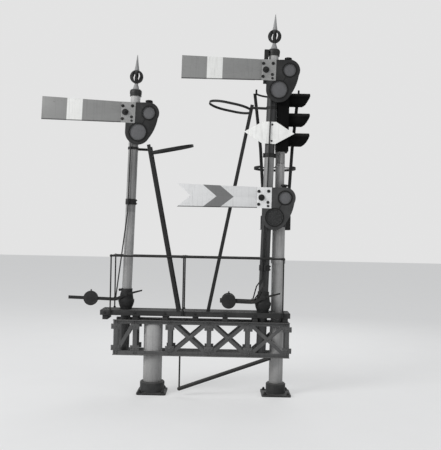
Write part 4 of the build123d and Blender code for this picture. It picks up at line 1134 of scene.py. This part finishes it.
@dataclass
class Studio:
    """Camera, soft lamps, pale world and floor."""

    focal: float = 54.4
    eye: Size = (0.945, -9.86, 2.267)
    roll: float = math.radians(1.2)
    horizon_shift: float = 12.0 / 450.0
    pale: float = 0.77
    sky_light: float = 0.50
    floor_glow: float = 0.45
    middle: Size = (0.8, 0.0, 2.6)

    def camera(self) -> None:
        """Places the camera where the photograph was taken from."""
        data = bpy.data.cameras.new("photo_camera")
        data.lens = self.focal
        data.sensor_width = 36.0
        data.shift_y = self.horizon_shift
        look = Matrix.Rotation(math.radians(90), 4, "X") @ Matrix.Rotation(self.roll, 4, "Z")
        bpy.context.scene.camera = show("photo_camera", data, Matrix.Translation(self.eye) @ look)

    def lamp(self, name: str, place: Size, size: float, power: float) -> None:
        """Adds one large soft lamp that points at the gantry's middle."""
        data = bpy.data.lights.new(name, "AREA")
        data.size = size
        data.energy = power
        show(name, data, aim(place, vec(*place) - vec(*self.middle)))

    def world(self) -> None:
        """Gives a soft even light, and a pale field where the camera looks."""
        graph = Graph(bpy.data.worlds.new("pale_sky"))
        bpy.context.scene.world = graph.finish(Color=(0.92, 0.94, 0.96), Strength=self.sky_light)
        graph.to_camera(graph.add("Background", {"Color": grey(self.pale)}))

    def floor(self) -> None:
        """Lays a pale floor just under the feet."""
        mesh = bmesh.new()
        bmesh.ops.create_grid(mesh, x_segments=1, y_segments=1, size=60.0, matrix=Matrix.Translation((0, 0, -0.002)))
        data = bpy.data.meshes.new("floor")
        mesh.to_mesh(data)
        mesh.free()
        floor = show("floor", data)
        graph = Graph(bpy.data.materials.new("floor_paper"))
        tone = graph.mix(grey(0.86), grey(0.90), graph.noise(1.5, 3.0, 0.5))
        data.materials.append(graph.finish(Base_Color=tone, Roughness=0.95))
        graph.to_camera(graph.add("Emission", {"Color": grey(0.80), "Strength": 1.0}), self.floor_glow)

    def build(self) -> None:
        """Sets the view and the light."""
        bpy.context.scene.view_settings.view_transform = "Standard"
        self.camera()
        self.world()
        self.floor()
        self.lamp("key", (-14.0, -10.5, 9.4), 7.0, 2150.0)
        self.lamp("fill", (7.0, -5.0, 4.0), 5.0, 60.0)
        self.lamp("rim", (2.5, 7.0, 6.5), 4.0, 170.0)


def finial_paint(side: str) -> Paint:
    """Dark cap and ball between a bare neck and a bare spike; the spike's light band is partly a painted highlight."""
    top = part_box(f"{side}_finial")[1].z
    bare = grey(0.30)
    return Paint(
        f"{side}_finial_paint", grey(0.022), streaks=0.3, dust=0.2, gloss=0.5, shine=0.35,
        # Light bands: a bare neck, and a bare spike painted light, which also stands in for the metal's highlight
        bands=((top - 0.512, top - 0.422, bare), (top - 0.229, top + 0.1, bare)),
    )


def node_finishes() -> dict[str, Finish]:
    """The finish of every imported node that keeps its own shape."""
    groups: tuple[tuple[Finish, str], ...] = (
        (COLUMN, "left_column right_column"),
        (CAST, "column_feet"),
        (DOLL_IRON, "left_doll_base right_doll_base"),
        (GIRDER, "front_girder rear_girder girder_plates"),
        (BOARDS, "deck_boards"),
        (EDGES, "edge_boards"),
        (BEARERS, "cross_bearers"),
        (RAIL, "front_handrail rear_handrail end_handrail"),
        (LEFT_POST, "left_doll"),
        (RIGHT_POST, "right_doll"),
        (finial_paint("left"), "left_finial"),
        (finial_paint("right"), "right_finial"),
        (LIGHT_POST, "light_post"),
        (HEAD_BLACK, "light_head light_hoods"),
        (WHITE, "diamond_plate"),
        (BLACK, "under_brace left_rod_guide right_rod_guide diamond_clamps light_footplate light_guard light_hoop"),
        (BLACK, "left_ladder left_ladder_hoop right_ladder right_ladder_hoop ladder_stays"),
    )
    return {name: finish for finish, names in groups for name in names.split()}


def main() -> None:
    """Builds the studio, dresses the nodes and adds every fitting."""
    logging.basicConfig(level=logging.INFO, format="%(name)s %(message)s")
    Studio().build()
    dressing = Dressing()
    for node, finish in node_finishes().items():
        dressing.dress(node, finish)
    Beam().build()
    Deck().build()
    Handrails().build()
    SemaphoreArm("left", LEFT).build(dressing)
    SemaphoreArm("home", RIGHT_DOLL, rise=math.radians(-0.3), chimney_off=-0.018).build(dressing)
    SemaphoreArm(
        "distant", RIGHT_DOLL, Marking.CHEVRON, rise=math.radians(-0.7), ground=grey(0.72), mark=grey(0.18),
        plate=grey(0.80), black=grey(0.034), low_glass=grey(0.012), back_nuts=False,
    ).build(dressing)
    Ladder("left", vec(0.367, -0.050, DECK_TOP), vec(-0.105, -0.050, DECK_TOP + 2.366)).build()
    Ladder("right", vec(0.788, 0.020, DECK_TOP), vec(1.364, 0.120, DECK_TOP + 2.990)).build()
    Clamps().build()
    ColourLight().build()


if __name__ == "__main__":
    main()
